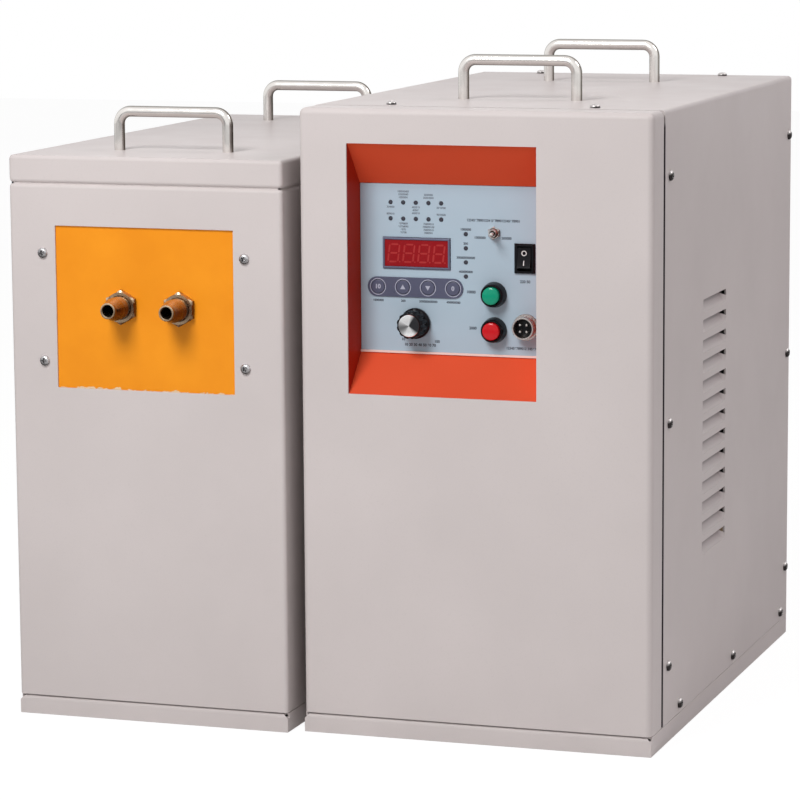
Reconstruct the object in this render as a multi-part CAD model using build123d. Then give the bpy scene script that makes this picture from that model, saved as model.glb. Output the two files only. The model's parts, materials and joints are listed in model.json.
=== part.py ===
from build123d import *
import os
from math import asin, cos, degrees, pi, radians, sin, sqrt, tan

# Split induction heater: a power cabinet and, on its left, the smaller heating station.
# Millimetres, +Z up, +X to the right seen from the front, the front faces towards -Y.
# Each cabinet is drawn from its own left front floor corner, then placed in the shared frame.

os.makedirs("parts", exist_ok=True)

# Flats on round things that are small or repeat, and the margin by which a cut runs past a face
control_sides = 16
few_sides = 10
head_sides = 8
hole_sides = 6
bend_facets = 4
over = 1.0

# Cabinets
power_width = 258.0
power_depth = 427.0
power_height = 450.0
station_width = 211.0
station_depth = 420.0
station_height = 413.0
cabinet_gap = 10.0
station_lead = 8.0

# Sheet metal
sheet = 1.5
lap_gap = 0.3
joint_line = 0.4
plinth_height = 14.0
plinth_bend = 3.5
plinth_relief = 4.0
tray_rim = 22.0
front_bend = 4.5
cover_bend = 3.0
front_return = 28.0
seam = 3.5
lap = 24.0
rear_recess = 1.0
rear_return = 22.0
lid_skirt = 20.0
lid_bend = 1.0
body_bend = 3.0
rim_rise = 13.0
rim_ledge = 12.0

# Louvres pressed inwards in both sides of the power cover
louvre_count = 13
louvre_pitch = 14.9
louvre_length = 70.0
louvre_front = 143.0
louvre_top = 305.5
louvre_height = 9.5
louvre_depth = 5.0
louvre_facets = 2
louvre_end_run = 7.0
louvre_tear = (5.0, 4.2)
louvre_tear_inset = 1.0

# Carrying handles, the same bent rod four times
rod_radius = 4.0
handle_span = 85.0
handle_rise = 28.5
handle_bend = 9.0
power_handle_front_inset = 112.0
power_handle_rear_inset = 97.0
station_handle_inset = 58.0

# Pan-head screws
screw_head = 3.7
screw_crown = 2.6
screw_head_height = 2.4
screw_shank = 2.0
screw_length = 7.0
screw_clearance = 0.25
side_screw_inset = 45.0
rear_screw_inset = 9.0
top_screw_inset = 54.0
side_screw_heights = (56.0, power_height / 2 + 5.0, power_height - 46.0)
tray_screw_height = 21.5
tray_screw_depths = (78.0, 240.0, power_depth - 25.0)

# Control window in the power cabinet's front
window_left = 35.7
window_width = 138.8
window_height = 177.5
window_bottom = power_height - 24.5 - window_height
recess_depth = 28.0
panel_bottom = window_bottom + 26.5
panel_height = 121.0
bezel_flange = 9.0
panel_thickness = 2.0
panel_fit = 0.2
panel_bevel = 0.8
panel_lip = 4.0

# Controls, placed from the window's lower left corner
led_radius = 1.5
led_fit = 0.1
led_proud = 0.3
led_pitch = 9.42
led_columns = 5
led_left = window_left + 23.0
led_upper_height = window_bottom + 134.1
led_lower_height = window_bottom + 122.6
value_led_x = window_left + 78.8
value_led_top = window_bottom + 112.8
value_led_pitch = 10.0
value_leds = 4
display_centre = (window_left + 42.3, window_bottom + 98.2)
display_width = 50.2
display_height = 22.2
display_rim = 1.5
display_proud = 1.4
display_bevel = 0.5
lens_recess = 0.6
lens_thickness = 2.0
lens_fit = 0.1
keypad_left = window_left + 5.6
keypad_width = 71.3
keypad_height = 14.1
keypad_centre_height = window_bottom + 73.9
keypad_thickness = 0.8
keypad_margin = 7.8
key_radius = 4.8
key_fit = 0.3
key_pitch = 18.7
key_count = 4
key_proud = 0.3
key_travel = 0.4
key_stem = 1.75
key_thickness = 2.0
key_stem_gap = 0.1
knob_centre = (window_left + 41.6, window_bottom + 48.4)
knob_skirt = 11.0
knob_skirt_height = 2.5
knob_body = 9.9
knob_height = 15.5
knob_flutes = 12
knob_flute_depth = 1.0
knob_skirt_bevel = 0.6
knob_crown = 2.0
knob_hollow = 7.2
knob_clear = 0.8
knob_cap_radius = 7.9
knob_cap_thickness = 1.0
knob_cap_bevel = 0.4
knob_lift = 0.6
pot_shaft = 3.0
pot_fit = 0.05
pot_bushing = 3.5
pot_bushing_length = 5.0
pot_body = 8.2
pot_body_depth = 9.0
pot_floor = 1.0
pot_shaft_end_gap = 0.3
pot_nut = 10.0
toggle_centre = (window_left + 100.0, window_bottom + 114.4)
toggle_bushing = 3.0
toggle_bore = 2.2
toggle_nut = 8.0
toggle_ball = 1.9
toggle_neck = 1.1
toggle_tip = 1.6
toggle_body = (8.0, 13.0)
toggle_body_depth = 10.0
toggle_bushing_length = 5.5
toggle_pivot_depth = 3.5
toggle_lever_length = 11.5
toggle_lean = 12.0
rocker_centre = (window_left + 122.4, window_bottom + 96.9)
rocker_flange = (15.0, 21.0)
rocker_flange_height = 2.0
rocker_opening = (10.4, 17.4)
rocker_body_inset = 0.9
rocker_body_depth = 18.0
rocker_well = 9.5
rocker_bevel = 0.8
rocker_pivot_depth = 3.0
rocker_pin = 1.0
rocker_pin_fit = 0.05
rocker_valley = 0.4
rocker_paddle_taper = 0.8
rocker_paddle_foot = 2.6
rocker_paddle_half = 7.2
rocker_side_fit = 0.3
rocker_tilt = 9.0
button_x = window_left + 99.9
start_height = window_bottom + 70.7
stop_height = window_bottom + 45.6
button_base = 9.2
button_lip = 8.0
button_lip_height = 8.0
button_cap = 6.2
button_cap_fit = 0.3
button_cap_proud = 3.0
button_cap_round = 0.8
button_bore_depth = 9.0
button_end_gap = 0.5
button_travel = 2.5
button_barrel = 7.8
button_barrel_depth = 16.0
button_stem = 2.5
button_stem_length = 17.0
socket_centre = (window_left + 123.1, window_bottom + 48.4)
socket_shell = 8.0
socket_wall = 1.3
socket_reach = 9.0
socket_flange = 9.4
socket_flange_height = 1.8
socket_floor_depth = 5.0
socket_pin = 1.0
socket_pin_ring = 3.4
socket_pins = 4
socket_pin_reach = 3.5
socket_body_depth = 12.0
nut_thickness = 2.5
nut_margin = 2.0
hole_fit = 0.2

# Control board behind the panel
board_thickness = 1.6
board_standoff = 6.0
board_left = window_left + 5.3
board_right = board_left + 81.0
board_bottom = window_bottom + 61.0
board_top = board_bottom + 82.0
standoff_radius = 2.5
standoff_inset = 5.0
switch_size = 6.0
switch_height = 3.5
module_gap_to_lens = 0.8
board_socket = (24.0, 8.0)
board_socket_depth = 9.0
board_socket_centre = (board_left + 39.0, board_bottom + 9.0)

# Power electronics inside the power cabinet
cold_plate_size = (150.0, 16.0, 170.0)
cold_plate_place = (54.0, 150.0)
cold_plate_foot = 30.0
plate_foot_thickness = 4.0
cold_plate_ports = (50.0, 130.0)
cold_plate_port_length = 16.0
module_margin = 8.0
module_bevel = 3.0
module_size = (62.0, 30.0, 106.0)
module_gap = 10.0
module_lift = 40.0
capacitor_radius = 26.0
capacitor_height = 95.0
capacitor_pitch = 60.0
capacitor_row = (70.0, 235.0)
capacitor_count = 3
capacitor_stud = 4.0
capacitor_stud_height = 9.0
capacitor_stud_offset = 11.0
transformer_place = (90.0, 330.0)
transformer_core_size = (96.0, 46.0, 80.0)
transformer_bobbin = (50.0, 74.0, 46.0)
bobbin_bend = 8.0

# Rear of the power cabinet
fan_centre = (power_width - 80.0, power_height - 98.0)
fan_size = 120.0
fan_bore = 57.0
fan_depth = 38.0
fan_corner = 5.0
fan_hub = 22.0
fan_hub_length = 24.0
fan_hub_gap = 1.0
fan_blade_tip = 54.0
fan_blade_chord = 30.0
fan_blade_thickness = 1.6
fan_blade_twist = 48.0
fan_tip_share = 1.3
fan_blades = 7
fan_stator = 20.0
fan_stator_depth = 10.0
fan_shaft = 2.5
fan_shaft_fit = 0.05
fan_shaft_floor = 2.0
fan_shaft_end_gap = 0.5
fan_struts = 3
fan_strut_width = 5.0
vent_slot_height = 6.0
vent_slot_pitch = 11.0
breaker_centre = (62.0, power_height - 100.0)
breaker_width = 54.0
breaker_height = 86.0
breaker_nose = 44.0
breaker_nose_reach = 9.0
breaker_depth = 58.0
breaker_slot = (42.0, 17.0)
breaker_slot_depth = 14.0
breaker_bevel = 1.5
breaker_side_fit = 0.3
breaker_lever_radius = 7.0
breaker_lever_sunk = 4.0
breaker_lever_length = 15.0
breaker_lever_thickness = 4.0
breaker_lever_lean = 35.0

# Terminal boards, cable gland and water fittings on both rear panels
power_terminals = (90.0, 205.0)
station_terminals = (105.5, 235.0)
terminal_board_size = (116.0, 58.0)
terminal_board_thickness = 8.0
terminal_board_chamfer = 1.5
terminal_window_inset = 12.0
terminal_pitch = 56.0
terminal_stud = 5.0
terminal_stud_length = 22.0
terminal_collar = 9.0
terminal_collar_height = 5.0
terminal_inside = 18.0
gland_centre = (power_width - 46.0, 205.0)
gland_radius = 14.0
gland_bore = 8.0
gland_reach = 22.0
gland_nut = 32.0
gland_nut_thickness = 6.0
gland_inside = 12.0
gland_dome = 5.0
gland_dome_radius = 11.0
power_fitting_xs = (50.0, 98.0, 160.0, 208.0)
station_fitting_xs = (66.0, 145.0)
fitting_height = 84.0
barb_radius = 5.0
barb_bore = 3.2
barb_step = 0.8
barb_land = 8.0
barb_length = 18.0
barb_count = 2
fitting_hex = 17.0
fitting_hex_thickness = 6.0
fitting_thread = 6.5
fitting_inside = 16.0

# Outlet board and brass outlets in the heating station's front
board_window_left = 35.8
board_window_width = 137.7
board_window_bottom = station_height - 168.5
board_window_height = 118.0
outlet_board_margin = 17.0
outlet_board_thickness = 6.0
board_screw_xs = (26.0, 182.2)
board_screw_heights = (board_window_bottom + 19.4, board_window_bottom + 98.1)
outlet_xs = (87.0, 132.0)
outlet_height = board_window_bottom + 60.5
outlet_bore = 3.4
outlet_thread = 8.3
outlet_thread_length = 9.0
outlet_neck = 7.3
outlet_neck_length = 2.5
outlet_tip = 5.8
outlet_cone_length = 7.5
outlet_land = 3.0
outlet_nut = 22.0
outlet_nut_thickness = 5.0
outlet_inside = 30.0

# Heating station inside
station_core = (92.0, 60.0, 130.0)
station_core_place = (59.5, 100.0)
core_leg = 24.0
winding_wall = 9.0
winding_height = 60.0
winding_fit = 0.3
tank_capacitor = (52.0, 78.0, 96.0)
tank_capacitor_gap = 8.0
tank_capacitors = 3
tank_row = (19.5, 260.0)
tank_bar = (30.0, 12.0, 3.0)
station_screw_heights = (56.0, station_height - 73.0)
station_screw_depth = 210.0
lid_screw_drop = 10.0

# Derived places
total_width = station_width + cabinet_gap + power_width
outlet_reach = (
    outlet_nut_thickness
    + outlet_neck_length
    + outlet_thread_length
    + outlet_cone_length
    + outlet_land
    - sheet
)
rear_reach = terminal_board_thickness + terminal_collar_height + terminal_stud_length - rear_recess
front_y = (station_lead + outlet_reach - power_depth - rear_reach) / 2
power_origin = (station_width + cabinet_gap - total_width / 2, front_y, 0)
station_origin = (-total_width / 2, front_y - station_lead, 0)
inset = sheet + lap_gap
wall_foot = plinth_height + joint_line
tray_top = plinth_height + tray_rim
flange_foot = tray_top + lap_gap
panel_y = recess_depth
panel_back = panel_y + panel_thickness
board_front = panel_back + board_standoff
power_rear = power_depth - rear_recess
station_rear = station_depth - rear_recess
station_top = station_height - lid_skirt
window_right = window_left + window_width
window_top = window_bottom + window_height
panel_top = panel_bottom + panel_height
display_back = panel_y - display_proud + lens_recess + lens_thickness


def block(x, y, z):
    """Box between a low and a high value on each axis."""
    size = [high - low for low, high in (x, y, z)]
    middle = [(low + high) / 2 for low, high in (x, y, z)]
    return Pos(*middle) * Box(*size)


def bar(start, direction, length, radius):
    """Round bar from a start point along a direction."""
    plane = Plane(origin=start, z_dir=direction)
    return plane * Pos(0, 0, length / 2) * Cylinder(radius, length)


def flatted(start, direction, outline, sides=few_sides):
    """Turned piece drawn with flats; the outline holds (distance along the axis, radius) points."""
    plane = Plane(origin=start, z_dir=direction)
    sections = [plane * Pos(0, 0, distance) * RegularPolygon(radius, sides) for distance, radius in outline]
    return loft(sections, ruled=True)


def flatted_bar(start, direction, length, radius, sides=few_sides):
    """Bar drawn with flats, for small shafts and holes."""
    return Plane(origin=start, z_dir=direction) * extrude(RegularPolygon(radius, sides), length)


def around(radius, sides):
    """Corner radius of a polygon that goes round a circle without cutting it."""
    return radius / cos(pi / sides)


def hexagon(start, direction, across_flats, thickness, bore):
    """Hexagon nut on a level axis, a corner pointing up, its bore drawn with flats round the thread."""
    plane = Plane(origin=start, z_dir=direction, x_dir=(0, 0, 1))
    outline = RegularPolygon(across_flats / sqrt(3), 6) - RegularPolygon(around(bore, few_sides), few_sides)
    return plane * extrude(outline, thickness)


def group(pieces):
    """Separate solids that share one node."""
    return Compound([solid for piece in pieces for solid in piece.solids()])


def save(node, shape, origin):
    """Write one node at its cabinet's place in the shared frame."""
    export_step(Pos(*origin) * shape, f"parts/{node}.step")


def edges_at(shape, axis, **place):
    """Edges along an axis whose centre lies at the given x, y or z values."""
    found = shape.edges().filter_by(axis)
    for name, value in place.items():
        found = found.filter_by(lambda edge: abs(getattr(edge.center(), name.upper()) - value) < 0.01)
    return found


def plinth(width, depth):
    """Base pan with a rolled front edge and a small relief at each front corner."""
    pan = block((0, width), (0, depth), (0, plinth_height))
    pan = fillet(edges_at(pan, Axis.X, y=0, z=plinth_height), plinth_bend)
    hollow = block((sheet, width - sheet), (sheet, depth - sheet), (sheet, plinth_height - sheet))
    mouth = block(
        (rim_ledge, width - rim_ledge), (rim_ledge, depth - rim_ledge), (sheet, plinth_height + 1)
    )
    pan = pan - hollow - mouth
    for corner, inner in ((0, plinth_relief), (width, width - plinth_relief)):
        notch = Polyline(
            (inner, plinth_height), (corner, plinth_height), (
                corner, plinth_height - plinth_relief
            ), close=True
        )
        pan = pan - extrude(Plane.XZ * make_face(notch), -plinth_bend)
    return pan


def chassis_tray(width, rear_face):
    """Floor of a cabinet with a rim on all four sides, inside the outer sheets."""
    rear = rear_face - sheet - lap_gap
    tray = block((inset, width - inset), (inset, rear), (plinth_height, tray_top))
    tray = chamfer(tray.edges().filter_by(Axis.Z), front_bend - sheet)
    hollow = block(
        (inset + sheet, width - inset - sheet), (inset + sheet, rear - sheet), (
            wall_foot + sheet, tray_top + 1
        )
    )
    return tray - hollow


def handle():
    """Bent rod standing on z = 0, its two feet on the X axis."""
    half = handle_span / 2
    centre = (half - handle_bend, handle_rise - handle_bend)
    angles = [pi / 2 * step / bend_facets for step in range(bend_facets + 1)]
    right = [(centre[0] + handle_bend * cos(a), 0, centre[1] + handle_bend * sin(a)) for a in angles]
    left = [(-x, y, z) for x, y, z in reversed(right)]
    path = Polyline((half, 0, 0), *right, *left, (-half, 0, 0))
    section = Plane(origin=(half, 0, 0), z_dir=(0, 0, 1)) * RegularPolygon(rod_radius, few_sides)
    return sweep(section, path, transition=Transition.RIGHT)


def screw(seat, outward):
    """Pan-head screw whose head rests on the seat and whose shank goes the other way."""
    head = flatted(seat, outward, ((0, screw_head), (screw_head_height, screw_crown)), head_sides)
    inward = tuple(-value for value in outward)
    return head + flatted_bar(seat, inward, screw_length, screw_shank, hole_sides)


def screw_hole(seat, outward):
    """Clearance hole that the screw's shank passes through."""
    inward = tuple(-value for value in outward)
    start = tuple(place + over * step for place, step in zip(seat, outward))
    return flatted_bar(start, inward, screw_length + 2 * over, screw_shank + screw_clearance, hole_sides)


def ring(start, outer, thickness, bore, sides=control_sides):
    """Flat ring on an axis along +Y."""
    plane = Plane(origin=start, z_dir=(0, 1, 0))
    return plane * extrude(RegularPolygon(outer, sides) - RegularPolygon(bore, sides), thickness)


def on_panel(centre, y):
    """Point on the control panel's X and Z at a given depth."""
    return (centre[0], y, centre[1])


def rear_panel(width, height, rear_face, top_flange):
    """Rear sheet with flanges that the outer sheets are screwed to."""
    back = (rear_face - sheet, rear_face)
    panel = block((inset, width - inset), back, (wall_foot, height))
    low = flange_foot
    forward = (rear_face - rear_return, rear_face)
    shell = block((inset, width - inset), forward, (low, height))
    top = sheet if top_flange else -over
    hollow = block(
        (inset + sheet, width - inset - sheet),
        (rear_face - rear_return - over, rear_face - sheet),
        (0, height - top),
    )
    panel = panel + (shell - hollow)
    if top_flange:
        corners = edges_at(panel, Axis.Y, x=inset, z=height) + edges_at(
            panel, Axis.Y, x=width - inset, z=height
        )
        panel = fillet(corners, cover_bend - sheet)
    return panel


def terminal_window(centre, rear_face):
    """Hole in a rear panel behind a terminal board."""
    half_x = terminal_board_size[0] / 2 - terminal_window_inset
    half_z = terminal_board_size[1] / 2 - terminal_window_inset
    return block(
        (centre[0] - half_x, centre[0] + half_x),
        (rear_face - sheet - over, rear_face + over),
        (centre[1] - half_z, centre[1] + half_z),
    )


def terminal_board(centre, rear_face):
    """Insulating board on a rear panel, bored for two studs."""
    half_x, half_z = (size / 2 for size in terminal_board_size)
    rear = rear_face + terminal_board_thickness
    board = block(
        (centre[0] - half_x, centre[0] + half_x),
        (rear_face, rear),
        (centre[1] - half_z, centre[1] + half_z),
    )
    board = chamfer(board.faces().sort_by(Axis.Y)[-1].edges(), terminal_board_chamfer)
    length = terminal_board_thickness + 2 * over
    bore = around(terminal_stud, few_sides)
    return board - [
        flatted_bar((x, rear_face - over, centre[1]), (0, 1, 0), length, bore) for x in stud_places(centre)
    ]


def stud_places(centre):
    """X of the two studs of a terminal board."""
    return [centre[0] + side * terminal_pitch / 2 for side in (-1, 1)]


def terminal_stud_at(x, z, rear_face):
    """Copper stud with a collar on the outer face of its board."""
    face = rear_face + terminal_board_thickness
    rear = face + terminal_collar_height + terminal_stud_length
    stud = flatted_bar(
        (x, rear_face - terminal_inside, z), (0, 1, 0), rear - rear_face + terminal_inside, terminal_stud
    )
    collar = flatted_bar((x, face, z), (0, 1, 0), terminal_collar_height, terminal_collar, hole_sides)
    return stud + collar


def water_fitting(x, rear_face):
    """Hose tail screwed through a rear panel, with a hexagon and barbs."""
    origin = (x, rear_face, fitting_height)
    hexagon_end = fitting_hex_thickness + barb_land
    outline = [(fitting_hex_thickness, barb_radius), (hexagon_end, barb_radius)]
    for number in range(barb_count):
        start = hexagon_end + barb_length * number / barb_count
        end = hexagon_end + barb_length * (number + 1) / barb_count
        outline += [(start + barb_step, barb_radius + barb_step), (end, barb_radius)]
    tail = flatted(origin, (0, 1, 0), outline, head_sides)
    nut = hexagon(origin, (0, 1, 0), fitting_hex, fitting_hex_thickness, barb_bore)
    inner = flatted_bar(origin, (0, -1, 0), fitting_inside, fitting_thread, head_sides)
    length = fitting_inside + hexagon_end + barb_length + 2 * over
    bore = flatted_bar(
        (x, rear_face - fitting_inside - over, fitting_height), (0, 1, 0), length, barb_bore, hole_sides
    )
    return tail + nut + inner - bore


def fitting_hole(x, rear_face):
    """Hole in a rear panel for a water fitting's thread."""
    start = (x, rear_face + over, fitting_height)
    return flatted_bar(start, (0, -1, 0), sheet + 2 * over, fitting_thread + hole_fit, head_sides)


def louvre(side_x, inward):
    """Sheet added and space cut away for the top louvre: a long bowl pressed into the side."""
    bowl = (louvre_height**2 / louvre_depth + louvre_depth) / 2
    centre_x = side_x - inward * (bowl - louvre_depth)
    spread = asin(louvre_height / bowl)
    deep = side_x + inward * (louvre_depth + sheet + over)
    slope = louvre_end_run / louvre_depth
    rear = louvre_front + louvre_length
    forms = []
    for wall, start_x in ((sheet, side_x + inward * sheet / 2), (0, side_x - inward * over)):
        angles = [spread * step / louvre_facets for step in range(louvre_facets + 1)]
        arc = [
            (centre_x + inward * (bowl + wall) * cos(a), louvre_top - (bowl + wall) * sin(a))
            for a in angles
        ]
        section = Polyline((start_x, louvre_top), *arc, (start_x, arc[-1][1]), close=True)
        front_start = louvre_front - wall
        rear_start = rear + wall
        run = slope * abs(deep - side_x)
        plan = Polyline(
            (side_x - inward * over, front_start - slope * over),
            (side_x - inward * over, rear_start + slope * over),
            (deep, rear_start - run),
            (deep, front_start + run),
            close=True,
        )
        ends = Pos(0, 0, louvre_top - 2 * louvre_height) * extrude(make_face(plan), 2 * louvre_height)
        reach = rear - louvre_front + 4 * louvre_end_run
        body = Pos(0, louvre_front - 2 * louvre_end_run, 0) * extrude(Plane.XZ * make_face(section), -reach)
        forms.append(ends & body)
    tear = block(
        sorted((side_x - inward * over, deep)),
        (rear - louvre_tear_inset - louvre_tear[0], rear - louvre_tear_inset),
        (louvre_top - louvre_tear[1], louvre_top),
    )
    return forms[0], forms[1] + tear


# Screw places on the power cabinet, as (seat, outward direction)
cover_screws = []
for screw_y in (side_screw_inset, power_depth - rear_screw_inset):
    for screw_x in (top_screw_inset, power_width - top_screw_inset):
        cover_screws.append(((screw_x, screw_y, power_height), (0, 0, 1)))
for side_x, outward in ((0, -1), (power_width, 1)):
    for screw_y in (side_screw_inset, power_depth - rear_screw_inset):
        for screw_z in side_screw_heights:
            cover_screws.append(((side_x, screw_y, screw_z), (outward, 0, 0)))
    for screw_y in tray_screw_depths:
        cover_screws.append(((side_x, screw_y, tray_screw_height), (outward, 0, 0)))
cover_holes = [screw_hole(seat, outward) for seat, outward in cover_screws]

# Power cabinet base
save("power_plinth", plinth(power_width, power_depth), power_origin)
power_tray = chassis_tray(power_width, power_rear)
power_tray = power_tray - cover_holes

# Front panel: a formed tray with a joggled flange that the cover laps over
front = block((0, power_width), (0, front_return), (wall_foot, power_height))
front_edges = edges_at(front, Axis.Z, x=0, y=0) + edges_at(front, Axis.Z, x=power_width, y=0)
front_edges += edges_at(front, Axis.X, y=0, z=power_height)
front = fillet(front_edges, front_bend)
inner_width = (sheet, power_width - sheet)
front_inner = block(inner_width, (sheet, front_return + 1), (wall_foot - 1, power_height - sheet))
inner_edges = edges_at(front_inner, Axis.Z, x=inner_width[0], y=sheet)
inner_edges += edges_at(front_inner, Axis.Z, x=inner_width[1], y=sheet)
inner_edges += edges_at(front_inner, Axis.X, y=sheet, z=power_height - sheet)
front = front - fillet(inner_edges, front_bend - sheet)
flange_x = (inset, power_width - inset)
flange_top = power_height - inset
web = block((0, power_width), (front_return - sheet, front_return), (flange_foot, power_height))
flange = block(flange_x, (front_return - sheet, front_return + seam + lap), (flange_foot, flange_top))
flange_edges = edges_at(flange, Axis.Y, x=flange_x[0], z=flange_top)
flange_edges += edges_at(flange, Axis.Y, x=flange_x[1], z=flange_top)
flange = fillet(flange_edges, cover_bend - sheet)
flange_hollow = block(
    (inset + sheet, power_width - inset - sheet), (0, power_depth), (0, flange_top - sheet)
)
front = front + (web + flange - flange_hollow)
window = block(
    (window_left, window_right), (-over, sheet + over), (window_bottom, window_top)
)
front = front - window - cover_holes
save("power_front_panel", front, power_origin)

# Cover: top and sides in one folded sheet, louvred on both sides
cover_y = (front_return + seam, power_depth)
cover = block((0, power_width), cover_y, (wall_foot, power_height))
cover_edges = edges_at(cover, Axis.Y, x=0, z=power_height) + edges_at(
    cover, Axis.Y, x=power_width, z=power_height
)
cover = fillet(cover_edges, cover_bend)
cover_inner = block(inner_width, (cover_y[0] - 1, cover_y[1] + 1), (wall_foot - 1, power_height - sheet))
inner_edges = edges_at(cover_inner, Axis.Y, x=inner_width[0], z=power_height - sheet)
inner_edges += edges_at(cover_inner, Axis.Y, x=inner_width[1], z=power_height - sheet)
cover = cover - fillet(inner_edges, cover_bend - sheet)
pressed = []
cut_away = list(cover_holes)
for side_x, inward in ((0, 1), (power_width, -1)):
    added, space = louvre(side_x, inward)
    for number in range(louvre_count):
        drop = Pos(0, 0, -number * louvre_pitch)
        pressed.append(drop * added)
        cut_away.append(drop * space)
cover = cover + pressed
cover = cover - cut_away
save("power_cover", cover, power_origin)

# Carrying handles of the power cabinet
for node, handle_y in (
    ("power_handle_front", power_handle_front_inset),
    ("power_handle_rear", power_depth - power_handle_rear_inset),
):
    save(node, Pos(power_width / 2, handle_y, power_height) * handle(), power_origin)

save("power_cover_screws", group([screw(seat, outward) for seat, outward in cover_screws]), power_origin)

# Rear panel of the power cabinet
vent_rows = int(fan_bore / vent_slot_pitch)
rear_cuts = list(cover_holes)
for row in range(-vent_rows, vent_rows + 1):
    slot_z = fan_centre[1] + row * vent_slot_pitch
    edge = abs(row * vent_slot_pitch) + vent_slot_height / 2
    half = sqrt(max(fan_bore**2 - edge**2, vent_slot_height**2))
    rear_cuts.append(
        block(
            (fan_centre[0] - half, fan_centre[0] + half),
            (power_rear - sheet - over, power_rear + over),
            (slot_z - vent_slot_height / 2, slot_z + vent_slot_height / 2),
        )
    )
rear_cuts.append(
    block(
        (
            breaker_centre[0] - breaker_width / 2 - hole_fit,
            breaker_centre[0] + breaker_width / 2 + hole_fit,
        ),
        (power_rear - sheet - over, power_rear + over),
        (breaker_centre[1] - breaker_nose / 2 - hole_fit, breaker_centre[1] + breaker_nose / 2 + hole_fit),
    )
)
rear_cuts.append(terminal_window(power_terminals, power_rear))
rear_cuts.append(
    flatted_bar(
        on_panel(gland_centre, power_rear - sheet - over),
        (0, 1, 0),
        sheet + 2 * over,
        around(gland_radius, few_sides),
    )
)
rear_cuts += [fitting_hole(x, power_rear) for x in power_fitting_xs]
save(
    "power_rear_panel",
    rear_panel(power_width, power_height - inset, power_rear, True) - rear_cuts,
    power_origin,
)
save("power_chassis_tray", power_tray, power_origin)

# Recessed control bezel: a sheet trough that tapers inwards above and below the panel
bezel_back = panel_back + sheet


def trough(wall, front, back):
    """Prism across the window whose top and bottom slope in towards the panel."""
    outline = Polyline(
        (front, window_bottom - wall),
        (front, window_top + wall),
        (panel_y, panel_top + wall),
        (back, panel_top + wall),
        (back, panel_bottom - wall),
        (panel_y, panel_bottom - wall),
        close=True,
    )
    width = window_width + 2 * wall
    return Pos(window_left - wall, 0, 0) * extrude(Plane.YZ * make_face(outline), width)


bezel = trough(sheet, sheet, bezel_back)
bezel = bezel + block(
    (window_left - bezel_flange, window_right + bezel_flange),
    (sheet, 2 * sheet),
    (window_bottom - bezel_flange, window_top + bezel_flange),
)
bezel = bezel - trough(0, sheet, panel_back)
bezel = bezel - block(
    (window_left + panel_lip, window_right - panel_lip),
    (panel_back - over, bezel_back + over),
    (panel_bottom + panel_lip, panel_top - panel_lip),
)
save("control_bezel", bezel, power_origin)

# Places of the status lamps and keys on the panel
led_places = [
    (led_left + led_pitch * column, row)
    for row in (led_upper_height, led_lower_height)
    for column in range(led_columns)
]
led_places += [(value_led_x, value_led_top - value_led_pitch * number) for number in range(value_leds)]
key_places = [
    (keypad_left + keypad_margin + key_pitch * number, keypad_centre_height)
    for number in range(key_count)
]
button_places = {"start": (button_x, start_height), "stop": (button_x, stop_height)}
standoff_places = [
    (x, z)
    for x in (board_left + standoff_inset, board_right - standoff_inset)
    for z in (board_bottom + standoff_inset, board_top - standoff_inset)
]


def panel_cut(centre, radius, sides):
    """Hole through the control panel."""
    return flatted_bar(
        on_panel(centre, panel_y - over), (0, 1, 0), panel_thickness + 2 * over, radius, sides
    )


def panel_slot(centre, width, height, low, high):
    """Block through the control panel between two depths."""
    return block(
        (centre[0] - width / 2, centre[0] + width / 2),
        (low, high),
        (centre[1] - height / 2, centre[1] + height / 2),
    )


# Control panel with its four clinched standoffs
panel = block(
    (window_left + panel_fit, window_right - panel_fit),
    (panel_y, panel_back),
    (panel_bottom + panel_fit, panel_top - panel_fit),
)
panel = chamfer(panel.faces().sort_by(Axis.Y)[0].edges(), panel_bevel)
panel = panel + [
    flatted_bar(on_panel(place, panel_back), (0, 1, 0), board_standoff, standoff_radius, hole_sides)
    for place in standoff_places
]
rocker_body = [size - 2 * rocker_body_inset for size in rocker_flange]
panel_cuts = [panel_cut(place, led_radius + led_fit, hole_sides) for place in led_places]
panel_cuts += [panel_cut(place, key_radius + key_fit, head_sides) for place in key_places]
panel_cuts += [
    panel_cut(place, button_barrel + hole_fit, control_sides)
    for place in button_places.values()
]
panel_cuts.append(panel_cut(socket_centre, socket_shell + hole_fit, control_sides))
panel_cuts.append(panel_cut(knob_centre, pot_bushing + hole_fit, few_sides))
panel_cuts.append(panel_cut(toggle_centre, toggle_bushing + hole_fit, few_sides))
through = (panel_y - over, panel_back + over)
panel_cuts.append(
    panel_slot(display_centre, display_width + 2 * hole_fit, display_height + 2 * hole_fit, *through)
)
panel_cuts.append(
    panel_slot(rocker_centre, rocker_body[0] + 2 * hole_fit, rocker_body[1] + 2 * hole_fit, *through)
)
save("control_panel", panel - panel_cuts, power_origin)

# Status lamps stand on the board and end just in front of the panel
lamps = [
    flatted_bar(
        on_panel(place, panel_y - led_proud),
        (0, 1, 0),
        board_front - panel_y + led_proud,
        led_radius,
        hole_sides,
    )
    for place in led_places
]
save("status_leds", group(lamps), power_origin)

# Display frame and its window
display_front = panel_y - display_proud
display_inner = (display_width - 2 * display_rim, display_height - 2 * display_rim)
frame_solid = panel_slot(display_centre, display_width, display_height, display_front, board_front)
frame_solid = chamfer(frame_solid.faces().sort_by(Axis.Y)[0].edges(), display_bevel)
frame_solid = frame_solid - panel_slot(
    display_centre, *display_inner, display_front - over, board_front + over
)
save("display_frame", frame_solid, power_origin)
lens_size = [size - 2 * lens_fit for size in display_inner]
lens = panel_slot(display_centre, *lens_size, display_front + lens_recess, display_back)
save("display_lens", lens, power_origin)

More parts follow.
